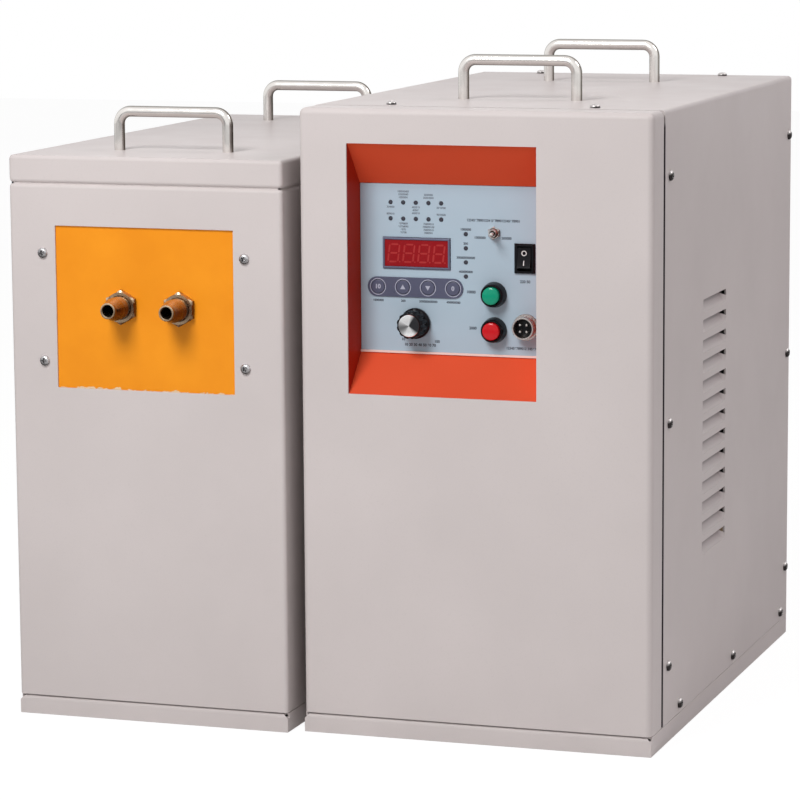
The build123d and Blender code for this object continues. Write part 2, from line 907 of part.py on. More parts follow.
# Key strip and its four keys
strip = SlotOverall(keypad_width, keypad_height)
keypad = Plane(
    origin=(keypad_left + keypad_width / 2, panel_y, keypad_centre_height), x_dir=(1, 0, 0), z_dir=(0, -1, 0)
) * extrude(strip, keypad_thickness)
keypad = keypad - [
    flatted_bar(
        on_panel(place, panel_y + over),
        (0, -1, 0),
        keypad_thickness + 2 * over,
        key_radius + key_fit,
        head_sides,
    )
    for place in key_places
]
save("keypad_overlay", keypad, power_origin)
key_front = panel_y - keypad_thickness - key_proud
switch_front = board_front - switch_height
for number, place in enumerate(key_places, 1):
    key = flatted_bar(on_panel(place, key_front), (0, 1, 0), key_thickness, key_radius, head_sides)
    stem_length = switch_front - key_travel - key_stem_gap - key_front
    key = key + flatted_bar(on_panel(place, key_front), (0, 1, 0), stem_length, key_stem, hole_sides)
    save(f"display_key_{number}", key, power_origin)

# Control board with the display module and one switch under each key
board_back = board_front + board_thickness
board = block((board_left, board_right), (board_front, board_back), (board_bottom, board_top))
module_size_inside = [size - 2 * lens_fit for size in lens_size]
board = board + [
    panel_slot(place, switch_size, switch_size, switch_front, board_front)
    for place in key_places
]
board = board + panel_slot(
    display_centre, *module_size_inside, display_back + module_gap_to_lens, board_front
)
board = board + panel_slot(board_socket_centre, *board_socket, board_back, board_back + board_socket_depth)
save("control_board", board, power_origin)

# Current knob on its potentiometer
knob_foot = panel_y - knob_lift
knob_top = panel_y - knob_height
flute_points = []
for number in range(2 * knob_flutes):
    angle = pi * number / knob_flutes
    radius = knob_body - (number % 2) * knob_flute_depth
    flute_points.append((radius * cos(angle), radius * sin(angle)))
knob_plane = Plane(origin=on_panel(knob_centre, knob_foot), z_dir=(0, -1, 0))
knob = knob_plane * extrude(make_face(Polyline(*flute_points, close=True)), knob_foot - knob_top)
skirt = flatted(
    on_panel(knob_centre, knob_foot),
    (0, -1, 0),
    ((0, knob_skirt), (knob_skirt_height, knob_skirt - knob_skirt_bevel)),
    control_sides,
)
shaft_end = knob_top + knob_crown
knob = knob + skirt
knob = knob - bar(
    on_panel(knob_centre, shaft_end), (0, 1, 0), knob_foot - shaft_end + over, pot_shaft + pot_fit
)
knob = knob - flatted_bar(
    on_panel(knob_centre, panel_y - pot_bushing_length + panel_thickness - knob_clear),
    (0, 1, 0),
    knob_height,
    knob_hollow,
)
save("power_knob", knob, power_origin)
cap_plate = flatted(
    on_panel(knob_centre, knob_top),
    (0, -1, 0),
    ((0, knob_cap_radius), (knob_cap_thickness, knob_cap_radius - knob_cap_bevel)),
    control_sides,
)
save("knob_cap", cap_plate, power_origin)
pot = flatted_bar(on_panel(knob_centre, panel_back), (0, 1, 0), pot_body_depth, pot_body, control_sides)
pot = pot + flatted_bar(on_panel(knob_centre, panel_back), (0, -1, 0), pot_bushing_length, pot_bushing)
pot_bore_length = pot_bushing_length + pot_body_depth - pot_floor
pot_bore_start = on_panel(knob_centre, panel_back - pot_bushing_length - over)
pot = pot - bar(pot_bore_start, (0, 1, 0), pot_bore_length + over, pot_shaft + pot_fit)
save("potentiometer", pot, power_origin)
shaft_length = panel_back - pot_bushing_length + pot_bore_length - shaft_end - pot_shaft_end_gap
save(
    "potentiometer_shaft",
    bar(on_panel(knob_centre, shaft_end), (0, 1, 0), shaft_length, pot_shaft),
    power_origin,
)

# Toggle switch with a bat lever
toggle_front = panel_y - toggle_bushing_length
pivot = on_panel(toggle_centre, panel_y - toggle_pivot_depth)
toggle = panel_slot(toggle_centre, *toggle_body, panel_back, panel_back + toggle_body_depth)
toggle = toggle + flatted_bar(
    on_panel(toggle_centre, panel_back), (0, -1, 0), panel_back - toggle_front, toggle_bushing
)
toggle = toggle - flatted_bar(
    on_panel(toggle_centre, toggle_front - over),
    (0, 1, 0),
    toggle_bushing_length + over,
    toggle_bore,
    control_sides,
)
save("toggle_housing", toggle, power_origin)
lean = radians(toggle_lean)
lever_outline = (
    (-toggle_ball, toggle_neck),
    (-toggle_ball / 2, toggle_ball),
    (toggle_ball / 2, toggle_ball),
    (toggle_ball, toggle_neck),
    (toggle_lever_length - toggle_tip, toggle_tip),
    (toggle_lever_length, toggle_neck),
)
toggle_lever = flatted(pivot, (sin(lean), -cos(lean), 0), lever_outline)
save("toggle_lever", toggle_lever, power_origin)

# Rocker switch: the paddle rests with its top half pressed in
rocker_front = panel_y - rocker_flange_height
rocker_pivot = on_panel(rocker_centre, rocker_front + rocker_pivot_depth)
rocker = panel_slot(rocker_centre, *rocker_flange, rocker_front, panel_y)
rocker = chamfer(rocker.faces().sort_by(Axis.Y)[0].edges(), rocker_bevel)
rocker = rocker + panel_slot(rocker_centre, *rocker_body, panel_y, panel_y + rocker_body_depth)
rocker = rocker - panel_slot(
    rocker_centre, *rocker_opening, rocker_front - over, rocker_front + rocker_well
)
pin_start = (rocker_pivot[0] - rocker_body[0] / 2, rocker_pivot[1], rocker_pivot[2])
rocker = rocker + bar(pin_start, (1, 0, 0), rocker_body[0], rocker_pin)
save("rocker_housing", rocker, power_origin)
crown = rocker_paddle_half * tan(radians(rocker_tilt))
paddle_outline = Polyline(
    (-rocker_valley, 0),
    (-rocker_valley - crown, rocker_paddle_half),
    (rocker_pivot_depth - rocker_valley, rocker_paddle_half - rocker_paddle_taper),
    (rocker_pivot_depth + rocker_paddle_foot, 2 * rocker_pin),
    (rocker_pivot_depth + rocker_paddle_foot, -2 * rocker_pin),
    (rocker_pivot_depth - rocker_valley, rocker_paddle_taper - rocker_paddle_half),
    (-rocker_valley - crown, -rocker_paddle_half),
    close=True,
)
paddle_width = rocker_opening[0] - 2 * rocker_side_fit
paddle = Pos(-paddle_width / 2, -rocker_pivot_depth, 0) * extrude(
    Plane.YZ * make_face(paddle_outline), paddle_width
)
paddle = paddle - bar((-paddle_width, 0, 0), (1, 0, 0), 2 * paddle_width, rocker_pin + rocker_pin_fit)
paddle = Pos(*rocker_pivot) * Rot(X=-rocker_tilt) * paddle
save("rocker_paddle", paddle, power_origin)

# Start and stop buttons
button_front = panel_y - button_lip_height
bore_floor = button_front + button_bore_depth
housings = []
for name, place in button_places.items():
    collar = flatted(
        on_panel(place, panel_y),
        (0, -1, 0),
        ((0, button_base), (button_lip_height, button_lip)),
        control_sides,
    )
    barrel = flatted_bar(
        on_panel(place, panel_y), (0, 1, 0), button_barrel_depth, button_barrel, control_sides
    )
    well = flatted_bar(
        on_panel(place, button_front - over),
        (0, 1, 0),
        button_bore_depth + over,
        button_cap + button_cap_fit,
        control_sides,
    )
    stem_hole = flatted_bar(
        on_panel(place, button_front),
        (0, 1, 0),
        button_lip_height + button_barrel_depth - over,
        button_stem + button_cap_fit,
    )
    housings.append(collar + barrel - well - stem_hole)
    cap_front = button_front - button_cap_proud
    rim = cap_front + button_cap_round
    cap = flatted(
        on_panel(place, bore_floor - button_travel - button_end_gap),
        (0, -1, 0),
        (
            (0, button_cap),
            (bore_floor - button_travel - button_end_gap - rim, button_cap),
            (bore_floor - button_travel - button_end_gap - cap_front, button_cap - button_cap_round),
        ),
        control_sides,
    )
    stem_start = on_panel(place, cap_front + button_cap_round)
    cap = cap + flatted_bar(stem_start, (0, 1, 0), button_stem_length, button_stem)
    save(f"{name}_button_cap", cap, power_origin)
save("button_housings", group(housings), power_origin)

# Round remote-control socket
socket_front = panel_y - socket_reach
socket_floor = socket_front + socket_floor_depth
socket_bore = socket_shell - socket_wall
shell_length = socket_reach + socket_body_depth
shell = flatted_bar(
    on_panel(socket_centre, socket_front), (0, 1, 0), shell_length, socket_shell, control_sides
)
shell = shell + flatted_bar(
    on_panel(socket_centre, panel_y), (0, -1, 0), socket_flange_height, socket_flange, control_sides
)
shell = shell - flatted_bar(
    on_panel(socket_centre, socket_front - over),
    (0, 1, 0),
    shell_length + 2 * over,
    socket_bore,
    control_sides,
)
save("remote_socket_shell", shell, power_origin)
insert = flatted_bar(
    on_panel(socket_centre, socket_floor),
    (0, 1, 0),
    shell_length - socket_floor_depth,
    socket_bore,
    control_sides,
)
for number in range(socket_pins):
    angle = 2 * pi * (number + 0.5) / socket_pins
    place = (
        socket_centre[0] + socket_pin_ring * cos(angle), socket_centre[1] + socket_pin_ring * sin(angle)
    )
    insert = insert + flatted_bar(
        on_panel(place, socket_floor), (0, -1, 0), socket_pin_reach, socket_pin, hole_sides
    )
save("remote_socket_insert", insert, power_origin)

# Nuts that hold the controls in the panel
nuts = [
    hexagon(on_panel(knob_centre, panel_y), (0, -1, 0), pot_nut, nut_thickness, pot_bushing),
    hexagon(on_panel(toggle_centre, panel_y), (0, -1, 0), toggle_nut, nut_thickness, toggle_bushing),
    ring(on_panel(socket_centre, panel_back), socket_flange + nut_margin, nut_thickness, socket_shell),
]
for place in button_places.values():
    nuts.append(ring(on_panel(place, panel_back), button_base + nut_margin, nut_thickness, button_barrel))
save("panel_nuts", group(nuts), power_origin)

# Water-cooled plate with its transistor modules, capacitors and control transformer
tray_floor = wall_foot + sheet
plate_x, plate_y = cold_plate_place
plate_end = (plate_x + cold_plate_size[0], plate_y + cold_plate_size[1])
plate = block(
    (plate_x, plate_end[0]), (plate_y, plate_end[1]), (tray_floor, tray_floor + cold_plate_size[2])
)
foot_top = tray_floor + plate_foot_thickness
plate = plate + block(
    (plate_x, plate_end[0]), (plate_y, plate_end[1] + cold_plate_foot), (tray_floor, foot_top)
)
for port_height in cold_plate_ports:
    port = (plate_end[0], (plate_y + plate_end[1]) / 2, tray_floor + port_height)
    plate = plate + flatted_bar(port, (1, 0, 0), cold_plate_port_length, barb_radius, hole_sides)
save("cold_plate", plate, power_origin)
modules = []
for number in range(2):
    left = plate_x + module_margin + number * (module_size[0] + module_gap)
    bottom = tray_floor + module_lift
    modules.append(
        block(
            (left, left + module_size[0]),
            (plate_y - module_size[1], plate_y),
            (bottom, bottom + module_size[2]),
        )
    )
save(
    "power_modules",
    group([chamfer(module.edges().filter_by(Axis.Z), module_bevel) for module in modules]),
    power_origin,
)
capacitors = []
for number in range(capacitor_count):
    centre_x = capacitor_row[0] + number * capacitor_pitch
    can = flatted_bar(
        (centre_x, capacitor_row[1], tray_floor), (0, 0, 1), capacitor_height, capacitor_radius
    )
    for side in (-1, 1):
        stud = (centre_x + side * capacitor_stud_offset, capacitor_row[1], tray_floor + capacitor_height)
        can = can + flatted_bar(stud, (0, 0, 1), capacitor_stud_height, capacitor_stud, hole_sides)
    capacitors.append(can)
save("dc_capacitors", group(capacitors), power_origin)
core_x, core_y = transformer_place
core = block(
    (core_x, core_x + transformer_core_size[0]),
    (core_y, core_y + transformer_core_size[1]),
    (tray_floor, tray_floor + transformer_core_size[2]),
)
middle = (core_x + transformer_core_size[0] / 2, core_y + transformer_core_size[1] / 2)
bobbin_foot = tray_floor + (transformer_core_size[2] - transformer_bobbin[2]) / 2
bobbin = block(
    (middle[0] - transformer_bobbin[0] / 2, middle[0] + transformer_bobbin[0] / 2),
    (middle[1] - transformer_bobbin[1] / 2, middle[1] + transformer_bobbin[1] / 2),
    (bobbin_foot, bobbin_foot + transformer_bobbin[2]),
)
save("control_transformer", core + chamfer(bobbin.edges().filter_by(Axis.Z), bobbin_bend), power_origin)

# Cooling fan against the rear panel
fan_rear = power_rear - sheet
fan_front = fan_rear - fan_depth
hub_rear = fan_rear - fan_stator_depth - fan_hub_gap
housing = panel_slot(fan_centre, fan_size, fan_size, fan_front, fan_rear)
housing = chamfer(housing.edges().filter_by(Axis.Y), fan_corner)
duct = flatted_bar(
    on_panel(fan_centre, fan_front - over), (0, 1, 0), fan_depth + 2 * over, fan_bore, control_sides
)
housing = housing - duct
stator_front = fan_rear - fan_stator_depth
housing = housing + flatted_bar(
    on_panel(fan_centre, stator_front), (0, 1, 0), fan_stator_depth, fan_stator, control_sides
)
strut = block((0, fan_bore + over), (stator_front, fan_rear), (-fan_strut_width / 2, fan_strut_width / 2))
housing = housing + [
    Pos(fan_centre[0], 0, fan_centre[1]) * Rot(Y=360 * number / fan_struts) * strut
    for number in range(fan_struts)
]
shaft_hole_length = fan_stator_depth - fan_shaft_floor
housing = housing - bar(
    on_panel(fan_centre, stator_front - over),
    (0, 1, 0),
    shaft_hole_length + over,
    fan_shaft + fan_shaft_fit,
)
save("fan_housing", housing, power_origin)
hub_front = hub_rear - fan_hub_length
rotor = flatted_bar(on_panel(fan_centre, hub_front), (0, 1, 0), fan_hub_length, fan_hub, control_sides)
shaft_reach = fan_hub_gap + shaft_hole_length - fan_shaft_end_gap
rotor = rotor + bar(on_panel(fan_centre, hub_rear), (0, 1, 0), shaft_reach, fan_shaft)
blade_middle = (hub_front + hub_rear) / 2
blade_sections = []
for radius, twist in ((fan_hub - over, fan_blade_twist), (fan_blade_tip, fan_blade_twist * fan_tip_share)):
    plane = Plane(origin=(0, 0, radius), z_dir=(0, 0, 1)).rotated((0, 0, twist))
    blade_sections.append(
        plane * Rectangle(fan_blade_thickness, fan_blade_chord * cos(radians(fan_blade_twist)))
    )
blade = loft(blade_sections, ruled=True)
fan_middle = Pos(*on_panel(fan_centre, blade_middle))
rotor = rotor + [fan_middle * Rot(Y=360 * number / fan_blades) * blade for number in range(fan_blades)]
save("fan_rotor", rotor, power_origin)

# Main circuit breaker, its nose through the rear panel, with a lever
nose_face = power_rear + breaker_nose_reach
breaker = panel_slot(breaker_centre, breaker_width, breaker_height, fan_rear - breaker_depth, fan_rear)
nose = panel_slot(breaker_centre, breaker_width, breaker_nose, fan_rear, nose_face)
breaker = breaker + chamfer(nose.faces().sort_by(Axis.Y)[-1].edges(), breaker_bevel)
breaker = breaker - panel_slot(
    breaker_centre, *breaker_slot, nose_face - breaker_slot_depth, nose_face + over
)
save("circuit_breaker", breaker, power_origin)
lever_axis = (breaker_centre[0], nose_face - breaker_lever_sunk, breaker_centre[1])
lever_width = breaker_slot[0] - 2 * breaker_side_fit
lever = bar((-lever_width / 2, 0, 0), (1, 0, 0), lever_width, breaker_lever_radius)
lever_blade = block(
    (-lever_width / 2, lever_width / 2),
    (0, breaker_lever_length),
    (-breaker_lever_thickness / 2, breaker_lever_thickness / 2),
)
lever = Pos(*lever_axis) * Rot(X=breaker_lever_lean) * (lever + lever_blade)
save("breaker_lever", lever, power_origin)

# Cable gland
gland_length = gland_inside + gland_reach
gland = flatted(
    on_panel(gland_centre, power_rear - gland_inside),
    (0, 1, 0),
    ((0, gland_radius), (gland_length - gland_dome, gland_radius), (gland_length, gland_dome_radius)),
)
for face, direction in ((power_rear, (0, 1, 0)), (fan_rear, (0, -1, 0))):
    gland = gland + hexagon(
        on_panel(gland_centre, face), direction, gland_nut, gland_nut_thickness, gland_radius / 2
    )
gland = gland - bar(
    on_panel(gland_centre, power_rear - gland_inside - over), (0, 1, 0), gland_length + 2 * over, gland_bore
)
save("cable_gland", gland, power_origin)

# Heating station base, walls and rear panel
side_seats = []
for side_x, outward in ((0, -1), (station_width, 1)):
    for screw_z in station_screw_heights:
        side_seats.append(((side_x, station_depth - rear_screw_inset, screw_z), (outward, 0, 0)))
    side_seats.append(((side_x, station_screw_depth, tray_screw_height), (outward, 0, 0)))
    side_seats.append(((side_x, station_screw_depth, station_height - lid_screw_drop), (outward, 0, 0)))
board_seats = [((x, 0, z), (0, -1, 0)) for x in board_screw_xs for z in board_screw_heights]
station_screws = side_seats + board_seats
station_holes = [screw_hole(seat, outward) for seat, outward in station_screws]
save("station_screws", group([screw(seat, outward) for seat, outward in station_screws]), station_origin)
save("station_plinth", plinth(station_width, station_depth), station_origin)
save("station_chassis_tray", chassis_tray(station_width, station_rear) - station_holes, station_origin)
body_top = station_top - joint_line
body = block((0, station_width), (0, station_depth), (wall_foot, body_top))
body = fillet(edges_at(body, Axis.Z, x=0, y=0) + edges_at(body, Axis.Z, x=station_width, y=0), body_bend)
inner = block((sheet, station_width - sheet), (sheet, station_depth + over), (0, body_top - sheet))
inner = fillet(
    edges_at(inner, Axis.Z, x=sheet, y=sheet) + edges_at(inner, Axis.Z, x=station_width - sheet, y=sheet),
    body_bend - sheet,
)
mouth_x = (inset + sheet, station_width - inset - sheet)
mouth_y = (inset + sheet, station_depth + over)
upstand = block(
    (inset, station_width - inset), (inset, station_depth), (body_top - sheet, body_top + rim_rise)
)
body = body - inner + upstand
body = body - block(mouth_x, mouth_y, (body_top - 2 * sheet, station_height))
body = body - block(
    (0, station_width), (station_rear - sheet - lap_gap, station_depth + over), (body_top, station_height)
)
outlet_window = block(
    (board_window_left, board_window_left + board_window_width),
    (-over, sheet + over),
    (board_window_bottom, board_window_bottom + board_window_height),
)
save("station_body", body - outlet_window - station_holes, station_origin)
station_rear_cuts = [terminal_window(station_terminals, station_rear)] + station_holes
station_rear_cuts += [fitting_hole(x, station_rear) for x in station_fitting_xs]
station_back = rear_panel(station_width, body_top - sheet - lap_gap, station_rear, False)
save("station_rear_panel", station_back - station_rear_cuts, station_origin)

# Lid of the heating station
lid = block((0, station_width), (0, station_depth), (station_top, station_height))
lid = fillet(lid.edges().filter_by(Axis.Z), body_bend)
lid = chamfer(lid.faces().sort_by(Axis.Z)[-1].edges(), lid_bend)
lid_hollow = block(
    (sheet, station_width - sheet), (sheet, station_depth - sheet), (
        station_top - over, station_height - sheet
    )
)
lid = lid - lid_hollow - station_holes
save("station_lid", lid, station_origin)
for node, handle_y in (
    ("station_handle_front", station_handle_inset),
    ("station_handle_rear", station_depth - station_handle_inset),
):
    save(node, Pos(station_width / 2, handle_y, station_height) * handle(), station_origin)

# Insulating outlet board with its two brass outlets
outlet_board_front = sheet
outlet_board_rear = outlet_board_front + outlet_board_thickness
outlet_board = block(
    (board_window_left - outlet_board_margin, board_window_left + board_window_width + outlet_board_margin),
    (outlet_board_front, outlet_board_rear),
    (
        board_window_bottom - outlet_board_margin,
        board_window_bottom + board_window_height + outlet_board_margin,
    ),
)
outlet_board = outlet_board - [
    flatted_bar(
        (x, 0, outlet_height), (0, 1, 0), outlet_board_rear + over, around(outlet_thread, few_sides)
    )
    for x in outlet_xs
]
save("outlet_board", outlet_board - station_holes, station_origin)
outlets = []
outlet_nuts = []
neck_start = outlet_nut_thickness
thread_start = neck_start + outlet_neck_length
cone_start = thread_start + outlet_thread_length
tip_start = cone_start + outlet_cone_length
outlet_inner = outlet_board_thickness + outlet_inside
for x in outlet_xs:
    seat = (x, outlet_board_front, outlet_height)
    outlet = flatted(
        seat, (0, -1, 0), ((-outlet_inner, outlet_thread), (neck_start, outlet_thread)), control_sides
    )
    outlet = outlet + flatted_bar(seat, (0, -1, 0), thread_start, outlet_neck, control_sides)
    outlet = outlet + bar(
        (x, seat[1] - thread_start, outlet_height), (0, -1, 0), outlet_thread_length, outlet_thread
    )
    tip_outline = (
        (cone_start, outlet_thread),
        (tip_start, outlet_tip),
        (tip_start + outlet_land, outlet_tip),
    )
    outlet = outlet + flatted(seat, (0, -1, 0), tip_outline, control_sides)
    bore_length = outlet_inner + tip_start + outlet_land + 2 * over
    rear_end = (x, seat[1] + outlet_inner + over, outlet_height)
    outlets.append(outlet - flatted_bar(rear_end, (0, -1, 0), bore_length, outlet_bore, head_sides))
    outlet_nuts.append(hexagon(seat, (0, -1, 0), outlet_nut, outlet_nut_thickness, outlet_thread))
    rear_seat = (x, outlet_board_rear, outlet_height)
    outlet_nuts.append(hexagon(rear_seat, (0, 1, 0), outlet_nut, outlet_nut_thickness, outlet_thread))
save("outlet_nipples", group(outlets), station_origin)
save("outlet_nuts", group(outlet_nuts), station_origin)

# Matching transformer and tank capacitors
core_left, core_front = station_core_place
core_low = (core_left, core_front, tray_floor)
core_high = tuple(low + size for low, size in zip(core_low, station_core))
ferrite = block(*zip(core_low, core_high))
ferrite = ferrite - block(
    (core_low[0] + core_leg, core_high[0] - core_leg),
    (core_low[1] - over, core_high[1] + over),
    (core_low[2] + core_leg, core_high[2] - core_leg),
)
save("transformer_core", ferrite, station_origin)
windings = []
winding_foot = tray_floor + (station_core[2] - winding_height) / 2
for left in (core_low[0], core_high[0] - core_leg):
    wall = winding_fit + winding_wall
    z_span = (winding_foot, winding_foot + winding_height)
    outer = block((left - wall, left + core_leg + wall), (core_low[1] - wall, core_high[1] + wall), z_span)
    outer = chamfer(outer.edges().filter_by(Axis.Z), winding_wall / 2)
    inner_x = (left - winding_fit, left + core_leg + winding_fit)
    inner_y = (core_low[1] - winding_fit, core_high[1] + winding_fit)
    windings.append(
        outer - block(inner_x, inner_y, (winding_foot - over, winding_foot + winding_height + over))
    )
save("transformer_windings", group(windings), station_origin)
tanks = []
for number in range(tank_capacitors):
    left = tank_row[0] + number * (tank_capacitor[0] + tank_capacitor_gap)
    low = (left, tank_row[1], tray_floor)
    high = tuple(place + size for place, size in zip(low, tank_capacitor))
    tank = block(*zip(low, high))
    tank = chamfer(tank.edges().filter_by(Axis.Z), module_bevel)
    for end_y in (low[1] + tank_bar[1], high[1] - tank_bar[1]):
        centre_x = (low[0] + high[0]) / 2
        tank = tank + block(
            (centre_x - tank_bar[0] / 2, centre_x + tank_bar[0] / 2),
            (end_y - tank_bar[1] / 2, end_y + tank_bar[1] / 2),
            (high[2], high[2] + tank_bar[2]),
        )
    tanks.append(tank)
save("resonant_capacitors", group(tanks), station_origin)

# Pieces that both rear panels share
offset = tuple(place - other for place, other in zip(station_origin, power_origin))
station_shift = Pos(*offset)
boards = [
    terminal_board(power_terminals, power_rear),
    station_shift * terminal_board(station_terminals, station_rear),
]
save("terminal_boards", group(boards), power_origin)
studs = [terminal_stud_at(x, power_terminals[1], power_rear) for x in stud_places(power_terminals)]
studs += [
    station_shift * terminal_stud_at(x, station_terminals[1], station_rear)
    for x in stud_places(station_terminals)
]
save("terminal_studs", group(studs), power_origin)
fittings = [water_fitting(x, power_rear) for x in power_fitting_xs]
fittings += [station_shift * water_fitting(x, station_rear) for x in station_fitting_xs]
save("water_fittings", group(fittings), power_origin)
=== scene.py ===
import json
from math import cos, pi, radians, sin, sqrt, tan

import bmesh
import bpy
from mathutils import Matrix, Vector


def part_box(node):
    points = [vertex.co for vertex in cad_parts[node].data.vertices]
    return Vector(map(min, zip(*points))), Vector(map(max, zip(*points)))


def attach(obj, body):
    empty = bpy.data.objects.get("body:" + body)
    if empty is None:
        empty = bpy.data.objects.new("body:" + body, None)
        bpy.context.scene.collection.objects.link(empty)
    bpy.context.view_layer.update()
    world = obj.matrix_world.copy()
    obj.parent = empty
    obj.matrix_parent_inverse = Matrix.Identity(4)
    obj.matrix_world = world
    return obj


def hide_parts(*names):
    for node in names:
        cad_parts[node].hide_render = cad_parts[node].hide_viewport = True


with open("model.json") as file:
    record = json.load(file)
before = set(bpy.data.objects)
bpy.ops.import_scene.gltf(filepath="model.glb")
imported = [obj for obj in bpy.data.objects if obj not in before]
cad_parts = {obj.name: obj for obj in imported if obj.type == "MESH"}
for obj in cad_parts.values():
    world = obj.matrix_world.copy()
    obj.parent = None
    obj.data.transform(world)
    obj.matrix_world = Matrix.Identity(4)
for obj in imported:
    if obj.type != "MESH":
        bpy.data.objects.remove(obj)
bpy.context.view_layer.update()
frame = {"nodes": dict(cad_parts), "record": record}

# Places: pieces are drawn in millimetres from each cabinet's left front floor corner
MM = 0.001
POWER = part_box("power_plinth")[0]
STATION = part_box("station_plinth")[0]
POWER_SIZE = (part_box("power_plinth")[1] - POWER) / MM
STATION_SIZE = (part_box("station_plinth")[1] - STATION) / MM
POWER_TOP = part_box("power_cover")[1].z / MM
STATION_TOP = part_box("station_lid")[1].z / MM
ROOT = "cabinets"
FRONT = (0, -1, 0)
BACK = (0, 1, 0)
UP = (0, 0, 1)
NODE_SLOTS = {row["node"]: row["material_slot"] for row in frame["record"]["subparts"]}


def scene_object(name, data):
    """New object in the scene."""
    made = bpy.data.objects.new(name, data)
    bpy.context.scene.collection.objects.link(made)
    return made


# Camera
PHOTO_WIDTH = 800
FOCAL_PIXELS = 3543.07
SENSOR = 36.0
CAMERA_AZIMUTH = radians(18.881)
CAMERA_ELEVATION = radians(8.716)
CAMERA_ROLL = radians(-0.39)
CAMERA_DISTANCE = 2.49755
CAMERA_TARGET = (74.38, 0.0, 245.2)


def make_camera():
    """Camera at the photograph's place, with its lens."""
    data = bpy.data.cameras.new("photo_camera")
    data.sensor_fit = "HORIZONTAL"
    data.sensor_width = SENSOR
    data.lens = FOCAL_PIXELS / PHOTO_WIDTH * SENSOR
    data.clip_end = 50.0
    camera = scene_object("photo_camera", data)
    back = Vector((
        sin(CAMERA_AZIMUTH) * cos(CAMERA_ELEVATION),
        -cos(CAMERA_AZIMUTH) * cos(CAMERA_ELEVATION),
        sin(CAMERA_ELEVATION),
    ))
    right = (-back).cross(Vector(UP)).normalized()
    up = back.cross(right)
    rolled_right = cos(CAMERA_ROLL) * right + sin(CAMERA_ROLL) * up
    rolled_up = cos(CAMERA_ROLL) * up - sin(CAMERA_ROLL) * right
    turn = Matrix((rolled_right, rolled_up, back)).transposed().to_4x4()
    target = POWER + Vector(CAMERA_TARGET) * MM
    camera.matrix_world = Matrix.Translation(target + back * CAMERA_DISTANCE) @ turn
    bpy.context.scene.camera = camera


# Shader helpers; lengths are in metres
PAINT_BLOTCH = 9.0
ORANGE_PEEL = 0.00012
METAL_GRAIN = 0.00004
BUMP_STRENGTH = 0.3


def material(name, colour, roughness, metallic=0.0, **sockets):
    """Principled material; returns it with its tree and shader."""
    made = bpy.data.materials.new(name)
    made.use_nodes = True
    tree = made.node_tree
    shader = tree.nodes["Principled BSDF"]
    shader.inputs["Base Color"].default_value = (*colour, 1.0)
    shader.inputs["Roughness"].default_value = roughness
    shader.inputs["Metallic"].default_value = metallic
    for socket, value in sockets.items():
        shader.inputs[socket.replace("_", " ")].default_value = value
    return made, tree, shader


def new_node(tree, kind, **values):
    """New shader node of a kind, with values at its sockets."""
    made = tree.nodes.new("ShaderNode" + kind)
    for socket, value in values.items():
        made.inputs[socket.replace("_", " ")].default_value = value
    return made


def noise(tree, scale, detail=2.0):
    """Noise in object space; the scale is in features per metre."""
    place = new_node(tree, "TexCoord")
    texture = new_node(tree, "TexNoise", Scale=scale, Detail=detail)
    tree.links.new(place.outputs["Object"], texture.inputs["Vector"])
    return texture.outputs["Fac"]


def spread(tree, value, low, high, start=0.3, end=0.7):
    """Maps a factor to a range."""
    ranged = new_node(tree, "MapRange", From_Min=start, From_Max=end, To_Min=low, To_Max=high)
    tree.links.new(value, ranged.inputs["Value"])
    return ranged.outputs["Result"]


def mixed(tree, value, first, second):
    """Colour between two colours."""
    mix = new_node(tree, "Mix")
    mix.data_type = "RGBA"
    for socket, colour in ((6, first), (7, second)):
        if isinstance(colour, tuple):
            mix.inputs[socket].default_value = (*colour, 1.0)
        else:
            tree.links.new(colour, mix.inputs[socket])
    tree.links.new(value, mix.inputs[0])
    return mix.outputs[2]


def maths(tree, operation, *values):
    """Result of a sum; each value is a number or the result of another node."""
    node = new_node(tree, "Math")
    node.operation = operation
    for number, value in enumerate(values):
        if isinstance(value, float):
            node.inputs[number].default_value = value
        else:
            tree.links.new(value, node.inputs[number])
    return node.outputs["Value"]


def object_place(tree):
    """The three parts of a point's place in object space."""
    place = new_node(tree, "TexCoord")
    parts = new_node(tree, "SeparateXYZ")
    tree.links.new(place.outputs["Object"], parts.inputs["Vector"])
    return tuple(parts.outputs)


def facing(tree, toward):
    """One where a surface looks in a direction, minus one where it looks away."""
    geometry = new_node(tree, "NewGeometry")
    dot = new_node(tree, "VectorMath")
    dot.operation = "DOT_PRODUCT"
    dot.inputs[1].default_value = Vector(toward).normalized()
    tree.links.new(geometry.outputs["Normal"], dot.inputs[0])
    return dot.outputs["Value"]


def covered(tree, shader, colours, height, distance, roughness=None):
    """Feeds a shader its colours, a bump of a height and, where it varies, its roughness."""
    tree.links.new(colours, shader.inputs["Base Color"])
    if roughness:
        tree.links.new(roughness, shader.inputs["Roughness"])
    bump = new_node(tree, "Bump", Strength=BUMP_STRENGTH, Distance=distance)
    tree.links.new(height, bump.inputs["Height"])
    tree.links.new(bump.outputs["Normal"], shader.inputs["Normal"])


def tinted(colour, factor):
    """Colour made lighter or darker."""
    return tuple(min(1.0, channel * factor) for channel in colour)


def colour_link(made):
    """Tree of a material, its colour socket and what feeds it."""
    socket = made.node_tree.nodes["Principled BSDF"].inputs["Base Color"]
    return made.node_tree, socket, socket.links[0].from_socket


